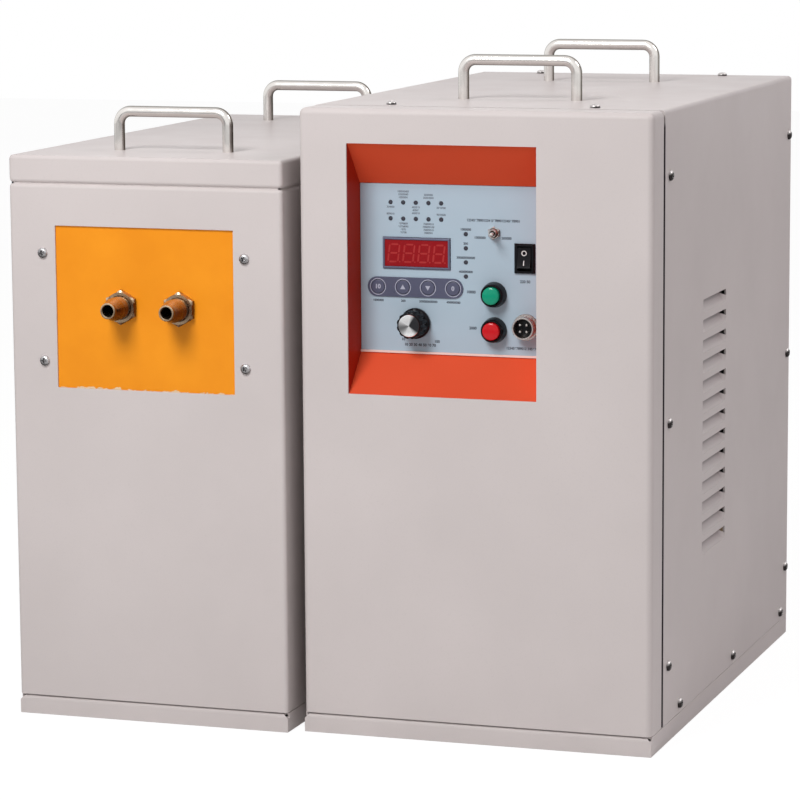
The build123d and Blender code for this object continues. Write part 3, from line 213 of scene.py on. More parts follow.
# Kinds of surface
def paint(name, colour, roughness, grain=1400.0, variation=0.03, specular=0.10):
    """Powder coat: fine orange peel, a slow drift of colour and a little dust."""
    made, tree, shader = material(name, colour, roughness, Specular_IOR_Level=specular)
    drift = spread(tree, noise(tree, PAINT_BLOTCH, 3.0), 0.0, 1.0)
    colours = mixed(tree, drift, tinted(colour, 1 - variation), tinted(colour, 1 + variation))
    speck = spread(tree, noise(tree, grain * 0.6, 1.0), 0.0, 0.35, 0.62, 0.74)
    dusted = mixed(tree, speck, colours, tinted(colour, 0.93))
    worn = spread(tree, noise(tree, PAINT_BLOTCH * 3, 4.0), roughness - 0.04, roughness + 0.05)
    covered(tree, shader, dusted, noise(tree, grain), ORANGE_PEEL, worn)
    return made


def metal(name, colour, roughness, grain, variation=0.12):
    """Metal with fine grain."""
    made, tree, shader = material(name, colour, roughness, 1.0)
    grain_value = noise(tree, grain, 4.0)
    colours = mixed(tree, grain_value, tinted(colour, 1 - variation), tinted(colour, 1 + variation / 2))
    worn = spread(tree, grain_value, roughness * 0.7, roughness * 1.4)
    covered(tree, shader, colours, grain_value, METAL_GRAIN, worn)
    return made


def metal_with_painted_reflection(name, bright, dark, roughness, toward, limits, both=False, lift=0.00002, grain=900.0):
    """Bright metal with a painted reflection: dark where it faces away from a direction or, with both, where
    it stands square to it.
    """
    made, tree, shader = material(name, bright, roughness, 1.0)
    turned = facing(tree, toward)
    if both:
        turned = maths(tree, "ABSOLUTE", turned)
    side = spread(tree, turned, 0.0, 1.0, *limits)
    grain_value = noise(tree, grain, 3.0)
    lit = mixed(tree, grain_value, tinted(bright, 0.92), tinted(bright, 1.04))
    worn = spread(tree, grain_value, roughness * 0.8, roughness * 1.3)
    covered(tree, shader, mixed(tree, side, dark, lit), grain_value, lift, worn)
    return made


def plastic(name, colour, roughness, grain=2200.0, variation=0.08, lift=0.00003, specular=0.3):
    """Moulded plastic with a fine texture."""
    made, tree, shader = material(name, colour, roughness, Specular_IOR_Level=specular)
    slow = noise(tree, 60.0)
    colours = mixed(tree, slow, tinted(colour, 1 - variation), tinted(colour, 1 + variation))
    worn = spread(tree, slow, roughness * 0.85, roughness * 1.15)
    covered(tree, shader, colours, noise(tree, grain), lift, worn)
    return made


def recess_paint():
    """Red paint with painted shade on the wall that looks right, away from the light."""
    made = paint("recess_paint", (0.74, 0.090, 0.036), 0.40, 1700.0, 0.04, 0.03)
    tree, socket, colour = colour_link(made)
    # Painted shade: faces that look right (+x) turn dark red.
    side = spread(tree, facing(tree, (1.0, 0.0, 0.0)), 0.0, 1.0, 0.4, 0.8)
    tree.links.new(mixed(tree, side, colour, (0.42, 0.026, 0.010)), socket)
    return made


CABINET = (0.640, 0.582, 0.572)
CABINET_ROUGHNESS = 0.36
PAINT = paint("cabinet_paint", CABINET, CABINET_ROUGHNESS)
# The recess's red, with painted shade on its right-looking wall.
RECESS = recess_paint()
FILM = plastic("panel_film", (0.410, 0.515, 0.600), 0.38, 3500.0, 0.015, 0.00001, 0.2)
FRAME_PLASTIC = plastic("display_frame_plastic", (0.12, 0.13, 0.20), 0.35)
KEYPAD = plastic("keypad_film", (0.085, 0.090, 0.145), 0.32, 3000.0, lift=0.00001)
PALE_INK = plastic("pale_ink", (0.42, 0.43, 0.52), 0.4)
WHITE_INK = plastic("white_ink", (0.75, 0.75, 0.75), 0.4)
DARK_INK = plastic("dark_ink", (0.05, 0.06, 0.08), 0.5)
FAINT_INK = plastic("faint_ink", (0.15, 0.175, 0.21), 0.5)
# Near-black flange: painted shade in the seam between the front and the cover.
FLANGE_SEAM_SHADE = paint("flange_seam_shade", (0.035, 0.028, 0.028), 0.5)
# Pale pink on a thin lip along the panel's lower edge: a painted highlight of the recess's bend.
EDGE_HIGHLIGHT = paint("recess_edge_highlight_paint", (0.92, 0.66, 0.60), 0.4)
BLACK = plastic("black_plastic", (0.006, 0.006, 0.008), 0.22, specular=0.14)
GREY = plastic("grey_plastic", (0.16, 0.17, 0.18), 0.45)
GREEN = plastic("green_cap", (0.0, 0.30, 0.17), 0.18)
RED = plastic("red_cap", (0.58, 0.004, 0.010), 0.18)
LAMP = plastic("lamp", (0.045, 0.045, 0.06), 0.25)
LENS = plastic("display_lens", (0.29, 0.008, 0.012), 0.16, variation=0.06, lift=0.000005, specular=0.2)
DIGITS = plastic("display_digits", (0.40, 0.030, 0.030), 0.3, specular=0.2)
# Painted reflections: these metals are bright or dark by the way each face looks, not by their own colour.
NICKEL = metal_with_painted_reflection(
    "nickel_rod", (0.80, 0.77, 0.74), (0.10, 0.08, 0.06), 0.20, (0, 1, 0), (0.26, 0.74), True, 0.000002, 90.0
)
SCREW_METAL = metal_with_painted_reflection(
    "screw_nickel", (0.60, 0.57, 0.56), (0.04, 0.035, 0.035), 0.28, (-0.30, 0.25, 0.88), (-0.25, 0.42)
)
FRONT_SCREW = metal_with_painted_reflection(
    "front_screw_nickel", (0.62, 0.61, 0.62), (0.07, 0.065, 0.065), 0.26, (0.45, -0.12, 0.85), (-0.45, 0.6)
)
BRIGHT = metal_with_painted_reflection(
    "bright_nickel", (0.82, 0.78, 0.75), (0.14, 0.08, 0.06), 0.2, (-0.5, -0.45, 0.75), (-0.2, 0.35)
)
OUTLET_BRASS = metal_with_painted_reflection(
    "outlet_brass", (0.62, 0.47, 0.32), (0.10, 0.045, 0.022), 0.28, (-0.45, -0.30, 0.80), (-0.3, 0.65)
)
DULL_NICKEL = metal("dull_nickel", (0.50, 0.46, 0.44), 0.30, 900.0)
SPUN = metal("spun_aluminium", (0.86, 0.87, 0.88), 0.20, 500.0)
STEEL = metal("zinc_steel", (0.55, 0.56, 0.57), 0.34, 300.0)
BRASS = metal("brass", (0.40, 0.28, 0.14), 0.27, 600.0, 0.25)
COPPER = metal("copper", (0.66, 0.33, 0.19), 0.33, 400.0, 0.2)
PHENOLIC = plastic("phenolic_board", (0.32, 0.10, 0.035), 0.5, 900.0, 0.2)
SOLDER_MASK = plastic("solder_mask", (0.02, 0.12, 0.05), 0.35)
FERRITE = plastic("ferrite", (0.05, 0.05, 0.055), 0.6, 500.0)
WINDING = plastic("winding_wrap", (0.45, 0.22, 0.06), 0.5, 400.0)
CAPACITOR = plastic("capacitor_case", (0.05, 0.07, 0.22), 0.4)


# Mesh helpers
BEVEL_STEPS = 2
FINISHED_ANGLE = 40.0
BOX_FACES = ((0, 1, 3, 2), (4, 6, 7, 5), (0, 4, 5, 1), (2, 3, 7, 6), (0, 2, 6, 4), (1, 5, 7, 3))


def shaded(mesh, angle):
    """Smooth shading with sharp creases."""
    for polygon in mesh.polygons:
        polygon.use_smooth = True
    mesh.set_sharp_from_angle(angle=radians(angle))


def linked(name, bm, surface=None):
    """Object of a bmesh, in the scene."""
    mesh = bpy.data.meshes.new(name)
    bm.to_mesh(mesh)
    bm.free()
    if surface:
        mesh.materials.append(surface)
    return scene_object(name, mesh)


def placed(bm, origin):
    """Brings a drawing in millimetres to its place in metres, with its faces outwards."""
    bmesh.ops.recalc_face_normals(bm, faces=bm.faces)
    bmesh.ops.transform(bm, matrix=Matrix.Translation(origin) @ Matrix.Scale(MM, 4), verts=bm.verts)
    return bm


def piece(name, bm, surface, origin=POWER, body=ROOT, stands_for=(), angle=32.0, slot=None):
    """Makes an object of a bmesh drawn in millimetres and puts it on its body."""
    bmesh.ops.remove_doubles(bm, verts=bm.verts, dist=0.0005)
    made = linked(name, placed(bm, origin), surface)
    shaded(made.data, angle)
    return settled(made, body, stands_for, slot)


def finished(node, bm, surface, origin=POWER, **settings):
    """Piece that stands for one CAD node."""
    return piece(node + "_finished", bm, surface, origin, stands_for=(node,), **settings)


def settled(made, body, stands_for, slot=None):
    """Rides a piece on its body, and hides the nodes that it stands for."""
    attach(made, body)
    if stands_for:
        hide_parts(*stands_for)
        slot = slot or NODE_SLOTS[stands_for[0]]
    return made


def baked(made):
    """Mesh of an object as Blender evaluates it."""
    graph = bpy.context.evaluated_depsgraph_get()
    graph.update()
    return bpy.data.meshes.new_from_object(made.evaluated_get(graph))


def applied(made):
    """Bakes a piece's modifiers into its mesh."""
    mesh = baked(made)
    made.modifiers.clear()
    old = made.data
    made.data = mesh
    bpy.data.meshes.remove(old)


def softened(made, width, angle=50.0):
    """Small bevel on every edge sharper than the angle."""
    bevel = made.modifiers.new("edges", "BEVEL")
    bevel.width = width * MM
    bevel.segments = BEVEL_STEPS
    bevel.limit_method = "ANGLE"
    bevel.angle_limit = radians(angle)
    applied(made)
    shaded(made.data, FINISHED_ANGLE)
    evened(made)


def evened(made):
    """Normals led by the large faces, so that flat sheets shade flat up to their edges."""
    weighted = made.modifiers.new("normals", "WEIGHTED_NORMAL")
    weighted.keep_sharp = True
    weighted.weight = 100
    applied(made)


def add_block(bm, corners):
    """Block of eight corners, in the order in which add_box lists them."""
    verts = [bm.verts.new(corner) for corner in corners]
    for quad in BOX_FACES:
        bm.faces.new([verts[index] for index in quad])


def add_box(bm, x, y, z):
    """Box between low and high values."""
    add_block(bm, [(a, b, c) for a in x for b in y for c in z])


def axes_of(direction):
    """An axis and two directions square to it, the first as near to up as can be."""
    axis = Vector(direction).normalized()
    up = Vector(UP) if abs(axis.z) < 0.9 else Vector(BACK)
    first = (up - axis * up.dot(axis)).normalized()
    return axis, first, axis.cross(first)


def add_grid(bm, rows):
    """Skins rows of points of equal count."""
    made = [[bm.verts.new(point) for point in row] for row in rows]
    for row, after in zip(made, made[1:]):
        for index in range(len(row) - 1):
            bm.faces.new((row[index], row[index + 1], after[index + 1], after[index]))


def add_rings(bm, rings, closed=False):
    """Skins rings of equal count; a ring of one point is a pole."""
    made = [[bm.verts.new(point) for point in ring] for ring in rings]
    pairs = list(zip(made, made[1:]))
    if closed:
        pairs.append((made[-1], made[0]))
    for low, high in pairs:
        count = max(len(low), len(high))
        if count == 1:
            continue
        for index in range(count):
            after = (index + 1) % count
            corners = [low[index % len(low)], low[after % len(low)]]
            corners += [high[after % len(high)], high[index % len(high)]]
            unique = [corner for place, corner in enumerate(corners) if corner not in corners[:place]]
            bm.faces.new(unique)
    return made


def add_capped(bm, rings):
    """Skins rings and closes both ends."""
    made = add_rings(bm, rings)
    bm.faces.new(made[0])
    bm.faces.new(made[-1])


def ring_about(centre, first, second, reach, segments):
    """Points round a centre; the reach is a length, or a function of the angle."""
    ring = []
    for index in range(segments):
        angle = 2 * pi * index / segments
        length = reach(angle) if callable(reach) else reach
        ring.append(centre + first * (length * cos(angle)) + second * (length * sin(angle)))
    return ring


def add_turned(bm, start, direction, outline, segments, shape=None, closed=False):
    """Turned surface of (distance, radius) points; the shape may change the radius at an angle."""
    axis, first, second = axes_of(direction)
    rings = []
    for distance, radius in outline:
        centre = Vector(start) + axis * distance

        def reach(angle):
            return shape(angle, distance, radius)

        around = ring_about(centre, first, second, reach if shape else radius, segments)
        rings.append(around if radius > 0 else [centre])
    add_rings(bm, rings, closed)


def add_lathe(bm, start, direction, outline, segments, shape=None):
    """Closed turned form; the outline goes round the section and meets itself."""
    add_turned(bm, start, direction, outline, segments, shape, closed=True)


def turned(node, surface, start, direction, outline, segments, add=add_turned, shape=None, **settings):
    """One turned piece that stands for a CAD node."""
    bm = bmesh.new()
    add(bm, start, direction, outline, segments, shape)
    finished(node, bm, surface, **settings)


def add_prism(bm, corners, low, high):
    """Prism of an outline of (x, z) corners, between two depths."""
    add_capped(bm, [[(x, depth, z) for x, z in corners] for depth in (low, high)])


def arc(centre, radius, start, end, steps):
    """Points on an arc, angles in degrees."""
    angles = [radians(start + (end - start) * step / steps) for step in range(steps + 1)]
    return [(centre[0] + radius * cos(angle), centre[1] + radius * sin(angle)) for angle in angles]


def dressed(node, surface, width=0.3, body=ROOT):
    """Copy of a CAD node with its facets merged and its edges broken, which stands for the node."""
    source = frame["nodes"][node]
    bm = bmesh.new()
    bm.from_mesh(source.data)
    bmesh.ops.transform(bm, matrix=source.matrix_world, verts=bm.verts)
    bmesh.ops.remove_doubles(bm, verts=bm.verts, dist=0.00001)
    bmesh.ops.dissolve_limit(bm, angle_limit=radians(1.0), verts=bm.verts, edges=bm.edges)
    made = linked(node + "_finished", bm, surface)
    softened(made, width, 25.0)
    settled(made, body, (node,))


# Sheet metal of the power cabinet
SHEET = 1.5
FLOOR_STRIP = 14.4
FRONT_RETURN = 28.0
SEAM = 3.5
FLANGE_END = 55.5
FLANGE_INSET = 1.8
FLANGE_FOOT = 36.5
FRONT_BEND = 4.5
COVER_BEND = 3.0
WINDOW = (35.7, 174.5, 248.0, 425.5)
OUTLET_WINDOW = (35.8, 173.5, 244.5, 362.5)
FRONT_EDGE = 0.35


def thickened(made):
    """Gives a skin its sheet thickness, inwards."""
    solid = made.modifiers.new("sheet", "SOLIDIFY")
    solid.thickness = SHEET * MM
    solid.offset = -1.0
    applied(made)


def cut(made, drawing, origin):
    """Cuts the closed forms of a drawing out of a piece."""
    cutter = linked("cutter", placed(drawing, origin))
    boolean = made.modifiers.new("cut", "BOOLEAN")
    boolean.operation = "DIFFERENCE"
    boolean.solver = "EXACT"
    boolean.object = cutter
    applied(made)
    mesh = cutter.data
    bpy.data.objects.remove(cutter)
    bpy.data.meshes.remove(mesh)


def cut_window(made, window, origin):
    """Cuts the window of a front, given as left, right, bottom and top."""
    drawing = bmesh.new()
    add_box(drawing, window[:2], (-2, SHEET * 2), window[2:])
    cut(made, drawing, origin)
    softened(made, FRONT_EDGE)


def open_tray(x, y, z, bend, open_faces, sharp=()):
    """Folded tray's skin: a box with rolled edges, without the faces that are named by where they look."""
    bm = bmesh.new()
    add_box(bm, x, y, z)
    bmesh.ops.recalc_face_normals(bm, faces=bm.faces)
    spans = {}
    for axis, limits in enumerate((x, y, z)):
        for sign, value in zip("-+", limits):
            spans[sign + "xyz"[axis]] = (axis, value)

    def sides_of(edge):
        found = set()
        for name, (axis, value) in spans.items():
            if all(abs(vert.co[axis] - value) < 1e-6 for vert in edge.verts):
                found.add(name)
        return found

    rolled = [edge for edge in bm.edges if not sides_of(edge) & {*open_faces, *sharp}]
    bmesh.ops.bevel(
        bm, geom=rolled, offset=bend, segments=6, profile=0.5, affect="EDGES", clamp_overlap=True
    )
    doomed = []
    for face in bm.faces:
        centre = face.calc_center_median()
        for name in open_faces:
            axis, value = spans[name]
            if abs(centre[axis] - value) < 1e-4 and abs(abs(face.normal[axis]) - 1) < 1e-3:
                doomed.append(face)
    bmesh.ops.delete(bm, geom=doomed, context="FACES")
    return bm


def power_front():
    """Front panel: a rolled tray with the control window and the joggled flange behind its return."""
    width, height = POWER_SIZE.x, POWER_TOP
    bm = open_tray((0, width), (0, FRONT_RETURN), (FLOOR_STRIP, height), FRONT_BEND, ("+y", "-z"))
    made = finished("power_front_panel", bm, PAINT)
    thickened(made)
    cut_window(made, WINDOW, POWER)
    bm = bmesh.new()
    near = FRONT_RETURN - SHEET - 0.2
    back = (near, FRONT_RETURN - 0.2)
    length = (near, FLANGE_END)
    inner = (FLANGE_INSET, FLANGE_INSET + SHEET)
    outer = SHEET - 0.1
    top = height - FLANGE_INSET
    for low, high in (inner, (width - inner[1], width - inner[0])):
        add_box(bm, (low, high), length, (FLANGE_FOOT, top - 1))
    add_box(bm, (inner[0], width - inner[0]), length, (top - SHEET, top))
    add_box(bm, (outer, width - outer), back, (height - FLANGE_INSET - SHEET, height - outer))
    for low, high in ((outer, inner[1]), (width - inner[1], width - outer)):
        add_box(bm, (low, high), back, (FLANGE_FOOT, top))
    # The flange is drawn in near-black painted seam shade.
    piece("power_front_flange", bm, FLANGE_SEAM_SHADE, slot="cabinet_paint")


# Louvres pressed into the cover's sides
LOUVRES = 13
LOUVRE_PITCH = 14.9
LOUVRE_FRONT = 143.0
LOUVRE_LENGTH = 70.0
LOUVRE_TOP = 305.5
LOUVRE_HEIGHT = 9.5
LOUVRE_DEPTH = 5.0
LOUVRE_RUN = 7.0
LOUVRE_STEPS = 8
TEAR_LENGTH = 8.5
TEAR_DROP = 5.0
LOUVRE_BOWL = (LOUVRE_HEIGHT**2 / LOUVRE_DEPTH + LOUVRE_DEPTH) / 2


def louvre_depth(along, down):
    """How far the bowl lies behind the sheet."""
    curve = sqrt(LOUVRE_BOWL**2 - down**2) - (LOUVRE_BOWL - LOUVRE_DEPTH)
    edge = min(along, LOUVRE_LENGTH - along)
    rise = 1.0 if edge >= LOUVRE_RUN else sin(pi / 2 * edge / LOUVRE_RUN)
    return max(0.0, curve) * rise


def louvre_ribs():
    """Distances along a louvre at which its form is drawn."""
    run = [LOUVRE_RUN * step / LOUVRE_STEPS for step in range(LOUVRE_STEPS + 1)]
    return run + [LOUVRE_LENGTH / 2] + [LOUVRE_LENGTH - value for value in reversed(run)]


def louvre_tear(along):
    """How far the bowl's upper edge is torn down; the tear is deepest at the rear end."""
    start = LOUVRE_LENGTH - TEAR_LENGTH
    return 0.0 if along <= start else TEAR_DROP * ((along - start) / TEAR_LENGTH) ** 0.8


def louvre_downs(along):
    """Depths below a louvre's top at which one rib of the bowl is drawn."""
    torn = louvre_tear(along)
    turns = [pi / 2 * step / LOUVRE_STEPS for step in range(LOUVRE_STEPS + 1)]
    return [torn + (LOUVRE_HEIGHT - torn) * sin(turn) for turn in turns]


def add_side(bm, side, inward, y, z):
    """Side of the cover: strips round a column of pressed bowls."""
    tops = [LOUVRE_TOP - number * LOUVRE_PITCH for number in range(LOUVRES)]
    front, rear = LOUVRE_FRONT, LOUVRE_FRONT + LOUVRE_LENGTH
    alongs = louvre_ribs()

    def strip(y_values, z_values):
        add_grid(bm, [[(side, a, b) for b in z_values] for a in y_values])

    def bowl(top, along):
        downs = louvre_downs(along)
        return [(side + inward * louvre_depth(along, down), front + along, top - down) for down in downs]

    for y_values, along in (((y[0], front), 0.0), ((rear, y[1]), LOUVRE_LENGTH)):
        downs = {0.0, *louvre_downs(along)}
        strip(y_values, sorted([z[0]] + [top - down for top in tops for down in downs] + [z[1]]))
    ribs = [front + along for along in alongs]
    strip(ribs, (z[0], tops[-1] - LOUVRE_HEIGHT))
    strip(ribs, (tops[0], z[1]))
    for upper, lower in zip(tops, tops[1:]):
        strip(ribs, (lower, upper - LOUVRE_HEIGHT))
    for top in tops:
        add_grid(bm, [bowl(top, along) for along in alongs])


def cover_paint():
    """Cabinet paint with painted shade: darker down in the louvres, and nearly black along the edge that
    stands in the front seam.
    """
    made = paint("cover_paint", CABINET, CABINET_ROUGHNESS)
    tree, socket, colour = colour_link(made)
    x, y, z = object_place(tree)
    half = POWER_SIZE.x / 2 * MM
    out = maths(tree, "ABSOLUTE", maths(tree, "SUBTRACT", x, POWER.x + half))
    # Painted shade: the paint darkens where the sheet lies deep in a louvre, but not on the roof.
    outside_louvre_shade = spread(tree, out, 0.0, 1.0, half - 0.0050, half - 0.0014)
    roof = POWER.z + POWER_TOP * MM
    above = spread(tree, z, 0.0, 1.0, roof - 0.012, roof - 0.008)
    colour = mixed(tree, maths(tree, "MAXIMUM", outside_louvre_shade, above), (0.350, 0.290, 0.298), colour)
    # Painted shade: near black on the cut edge that stands in the front seam.
    edge = POWER.y + (FRONT_RETURN + SEAM) * MM
    clear = maths(tree, "MAXIMUM", spread(tree, y, 0.0, 1.0, edge + 0.0006, edge + 0.0014), above)
    tree.links.new(mixed(tree, clear, (0.070, 0.056, 0.062), colour), socket)
    return made


def power_cover():
    """Cover folded from one sheet, louvred on both sides."""
    width, depth = POWER_SIZE.x, POWER_SIZE.y
    y = (FRONT_RETURN + SEAM, depth)
    bm = bmesh.new()
    top = POWER_TOP - COVER_BEND
    for side, inward in ((0, 1), (width, -1)):
        add_side(bm, side, inward, y, (FLOOR_STRIP, top))
    ribs = [y[0]] + [LOUVRE_FRONT + along for along in louvre_ribs()] + [y[1]]
    bend = arc((COVER_BEND, top), COVER_BEND, 180, 90, 6)
    profile = bend + [(width - x, z) for x, z in reversed(bend)]
    add_grid(bm, [[(x, rib, z) for x, z in profile] for rib in ribs])
    made = finished("power_cover", bm, cover_paint())
    thickened(made)
    shaded(made.data, 28.0)
    evened(made)


# Handles
HANDLE_SPAN = 85.0
HANDLE_RISE = 28.5
HANDLE_BEND = 9.0
ROD = 4.0


def handle(node):
    """Bent polished rod, its nickel with a painted reflection."""
    low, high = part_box(node)
    foot = Vector(((low.x + high.x) / 2, (low.y + high.y) / 2, low.z))
    half = HANDLE_SPAN / 2
    bend = HANDLE_RISE - HANDLE_BEND
    path = [(-half, 0)] + arc((-half + HANDLE_BEND, bend), HANDLE_BEND, 180, 90, 10)
    path += [(-x, z) for x, z in reversed(path)]
    rings = []
    for index, (x, z) in enumerate(path):
        before = Vector(path[max(0, index - 1)])
        after = Vector(path[min(len(path) - 1, index + 1)])
        along = (after - before).normalized()
        across = Vector((along.y, 0, -along.x))
        rings.append(ring_about(Vector((x, 0, z)), across, Vector(BACK), ROD, 24))
    bm = bmesh.new()
    add_capped(bm, rings)
    piece(node + "_rod", bm, NICKEL, foot, stands_for=(node,), angle=50.0)


# Screws
SCREW_HEAD = 3.7
SCREW_HEIGHT = 2.4
SCREW_FACE = 2.35
CROSS_ARM = 0.62
CROSS_TIP = 1.9
CROSS_FLOOR = 0.7
REAR_EDGE = 9.0
FOOT_ROW = 21.5
COVER_FRONT_ROW = 45.0
ROOF_INSET = 54.0
COVER_HEIGHTS = (56.0, 230.0, 404.0)
COVER_FOOT_PLACES = (78.0, 240.0, 402.0)
BOARD_SCREW_X = (26, 182.2)
BOARD_SCREW_Z = (263.9, 342.6)
STATION_REAR_HEIGHTS = (56, 340)
STATION_MIDDLE = 210.0
LID_ROW = 403.0


def add_screw(bm, seat, outward, turn):
    """Pan head with a cross recess."""
    axis, first, second = axes_of(outward)
    seat = Vector(seat)
    one = first * cos(turn) + second * sin(turn)
    two = second * cos(turn) - first * sin(turn)
    dome = [(0.0, SCREW_HEAD), (0.9, SCREW_HEAD), (1.6, SCREW_HEAD * 0.93), (2.1, SCREW_HEAD * 0.76)]
    dome.append((SCREW_HEIGHT, SCREW_FACE))
    cross = []
    for quarter in range(4):
        angle = pi / 2 * quarter
        out = one * cos(angle) + two * sin(angle)
        side = two * cos(angle) - one * sin(angle)
        cross += [out * CROSS_ARM - side * CROSS_ARM]
        cross += [out * CROSS_TIP - side * CROSS_ARM * 0.8, out * CROSS_TIP + side * CROSS_ARM * 0.8]
    made = add_rings(bm, [ring_about(seat + axis * level, one, two, radius, 32) for level, radius in dome])
    levels = ((SCREW_HEIGHT, 1.0), (CROSS_FLOOR, 0.55))
    recess = [[seat + axis * level + point * size for point in cross] for level, size in levels]
    mouth, deep = add_rings(bm, recess)
    bm.faces.new(deep)
    edges = []
    for loop in (made[-1], mouth):
        edges += [bm.edges.get(pair) for pair in zip(loop, loop[1:] + loop[:1])]
    bmesh.ops.triangle_fill(bm, use_beauty=True, edges=edges)
    bm.faces.new(list(reversed(made[0])))


def power_screw_places():
    """Seats of the cover's screws, as (seat, outward) pairs."""
    width, depth = POWER_SIZE.x, POWER_SIZE.y
    sides = ((0.0, (-1, 0, 0)), (width, (1, 0, 0)))
    places = []
    for y in (COVER_FRONT_ROW, depth - REAR_EDGE):
        places += [((x, y, POWER_TOP), UP) for x in (ROOF_INSET, width - ROOF_INSET)]
        places += [((side, y, z), outward) for side, outward in sides for z in COVER_HEIGHTS]
    places += [((side, y, FOOT_ROW), outward) for side, outward in sides for y in COVER_FOOT_PLACES]
    return places


def station_screw_places():
    """Seats of the heating station's screws; the four of the outlet board come first."""
    width, depth = STATION_SIZE.x, STATION_SIZE.y
    places = [((x, 0, z), FRONT) for x in BOARD_SCREW_X for z in BOARD_SCREW_Z]
    for side, outward in ((0.0, (-1, 0, 0)), (width, (1, 0, 0))):
        places += [((side, depth - REAR_EDGE, z), outward) for z in STATION_REAR_HEIGHTS]
        places += [((side, STATION_MIDDLE, z), outward) for z in (FOOT_ROW, LID_ROW)]
    return places


def screws(name, places, origin, stands_for=(), surface=SCREW_METAL):
    """All pan-head screws of one cabinet, each turned a little differently."""
    bm = bmesh.new()
    for number, (seat, outward) in enumerate(places):
        add_screw(bm, seat, outward, number * 1.9)
    piece(name, bm, surface, origin, stands_for=stands_for, angle=40.0, slot="nickel")


# Heating station shells
STATION_BEND = 3.0
LID_HEIGHT = 20.0
LID_GAP = 0.5
UPSTAND = (1.8, 3.3)
UPSTAND_RISE = 12.0


def station_shells():
    """Body with its outlet window and upstand, and the lid."""
    width, depth = STATION_SIZE.x, STATION_SIZE.y
    lid_foot = STATION_TOP - LID_HEIGHT
    body_top = lid_foot - LID_GAP
    bm = open_tray((0, width), (0, depth), (FLOOR_STRIP, body_top), STATION_BEND, ("+y", "-z"), ("+z",))
    roof = [face for face in bm.faces if face.normal.z > 0.99]
    bmesh.ops.delete(bm, geom=roof, context="FACES")
    body = finished("station_body", bm, PAINT, STATION)
    thickened(body)
    cut_window(body, OUTLET_WINDOW, STATION)
    bm = bmesh.new()
    level = (body_top - SHEET, body_top + UPSTAND_RISE)
    near, far = UPSTAND
    for low, high in ((near, far), (width - far, width - near)):
        add_box(bm, (low, high), (near, depth - 5), level)
    add_box(bm, (near, width - near), UPSTAND, level)
    piece("station_upstand", bm, PAINT, STATION, slot="cabinet_paint")
    bm = open_tray((0, width), (0, depth), (lid_foot, STATION_TOP), STATION_BEND, ("-z",))
    lid = finished("station_lid", bm, PAINT, STATION)
    thickened(lid)
    softened(lid, 0.3)


make_camera()
power_front()
power_cover()
station_shells()
for node in ("power_handle_front", "power_handle_rear", "station_handle_front", "station_handle_rear"):
    handle(node)
screws("power_screw_heads", power_screw_places(), POWER, ("power_cover_screws",))
screws("station_screw_heads", station_screw_places(), STATION, ("station_screws",), FRONT_SCREW)
for node, surface in (
    ("power_plinth", PAINT),
    ("station_plinth", PAINT),
    ("power_rear_panel", PAINT),
    ("station_rear_panel", PAINT),
    ("control_bezel", RECESS),
):
    dressed(node, surface)


# Control panel and what sits in it; places are (x, z) on the panel
PANEL_FACE = 28.0
PANEL_BACK = 30.0
PANEL = (35.9, 174.3, 274.7, 395.3)
UPPER_LAMPS = [(58.7 + 9.42 * column, 382.1) for column in range(5)]
LOWER_LAMPS = [(58.7 + 9.42 * column, 370.6) for column in range(5)]
VALUE_LAMPS = [(114.5, 360.8 - 10.0 * number) for number in range(4)]
LAMPS = UPPER_LAMPS + LOWER_LAMPS + VALUE_LAMPS
KEYS = [(49.1 + 18.7 * number, 321.9) for number in range(4)]
KEY_HOLE = 5.1
DISPLAY = (78, 346.2)
KNOB = (77.3, 296.4)
TOGGLE = (135.7, 362.4)
ROCKER = (158.1, 344.9)
START = (135.6, 318.7)
STOP = (135.6, 293.6)
SOCKET = (158.8, 296.4)
ROUND_HOLES = ((KNOB, 3.7), (TOGGLE, 3.2), (START, 8.0), (STOP, 8.0), (SOCKET, 8.2))
SQUARE_HOLES = ((DISPLAY, 50.6, 22.6), (ROCKER, 13.6, 19.6))

# Lines of small figures at the round lamps: lamps, number, first line's offset, line spacing, lines
LAMP_FIGURES = (
    (UPPER_LAMPS, 1, 3.6, 2.1, ("1020304", "10203040", "102030405")),
    (UPPER_LAMPS, 3, 3.6, 2.1, ("20304050", "2030405")),
    (UPPER_LAMPS, 0, -3.3, -2.1, ("304050",)),
    (UPPER_LAMPS, 2, -3.3, -2.1, ("405060", "40506", "405060")),
    (UPPER_LAMPS, 4, -3.3, -2.1, ("5060708",)),
    (LOWER_LAMPS, 0, 3.3, 2.1, ("809010",)),
    (LOWER_LAMPS, 4, 3.3, 2.1, ("9010200",)),
    (LOWER_LAMPS, 1, -3.5, -2.1, ("6070809", "60708090", "6070", "60708")),
    (LOWER_LAMPS, 3, -3.5, -2.1, ("70809010", "708090100", "70809010", "7080901")),
)
LAMP_FIGURE_HEIGHT = 1.35
VALUE_FIGURES = ("1000000", "200", "300000000000", "400000000")

# Other figures on the panel: line, x, z, height
PANEL_FIGURES = (
    ("12345678901234 56789012345678901", 134.9, 370.8, 1.75),
    ("1000000", 125.0, 358.6, 1.7),
    ("200000", 144.6, 358.6, 1.7),
    ("220 50", 158.1, 328.4, 1.9),
    ("10000", 118.3, 319.9, 1.9),
    ("2000", 119.6, 294.3, 1.9),
    ("10", 67.6, 284.6, 1.9),
    ("100", 92.9, 283.7, 1.9),
    ("10 20 30 40 50 60 70", 80.2, 280.9, 1.9),
    ("123456789012 345678901", 157.6, 281.0, 1.75),
)


def at(place, y):
    """Point on the panel at a depth."""
    return (place[0], y, place[1])


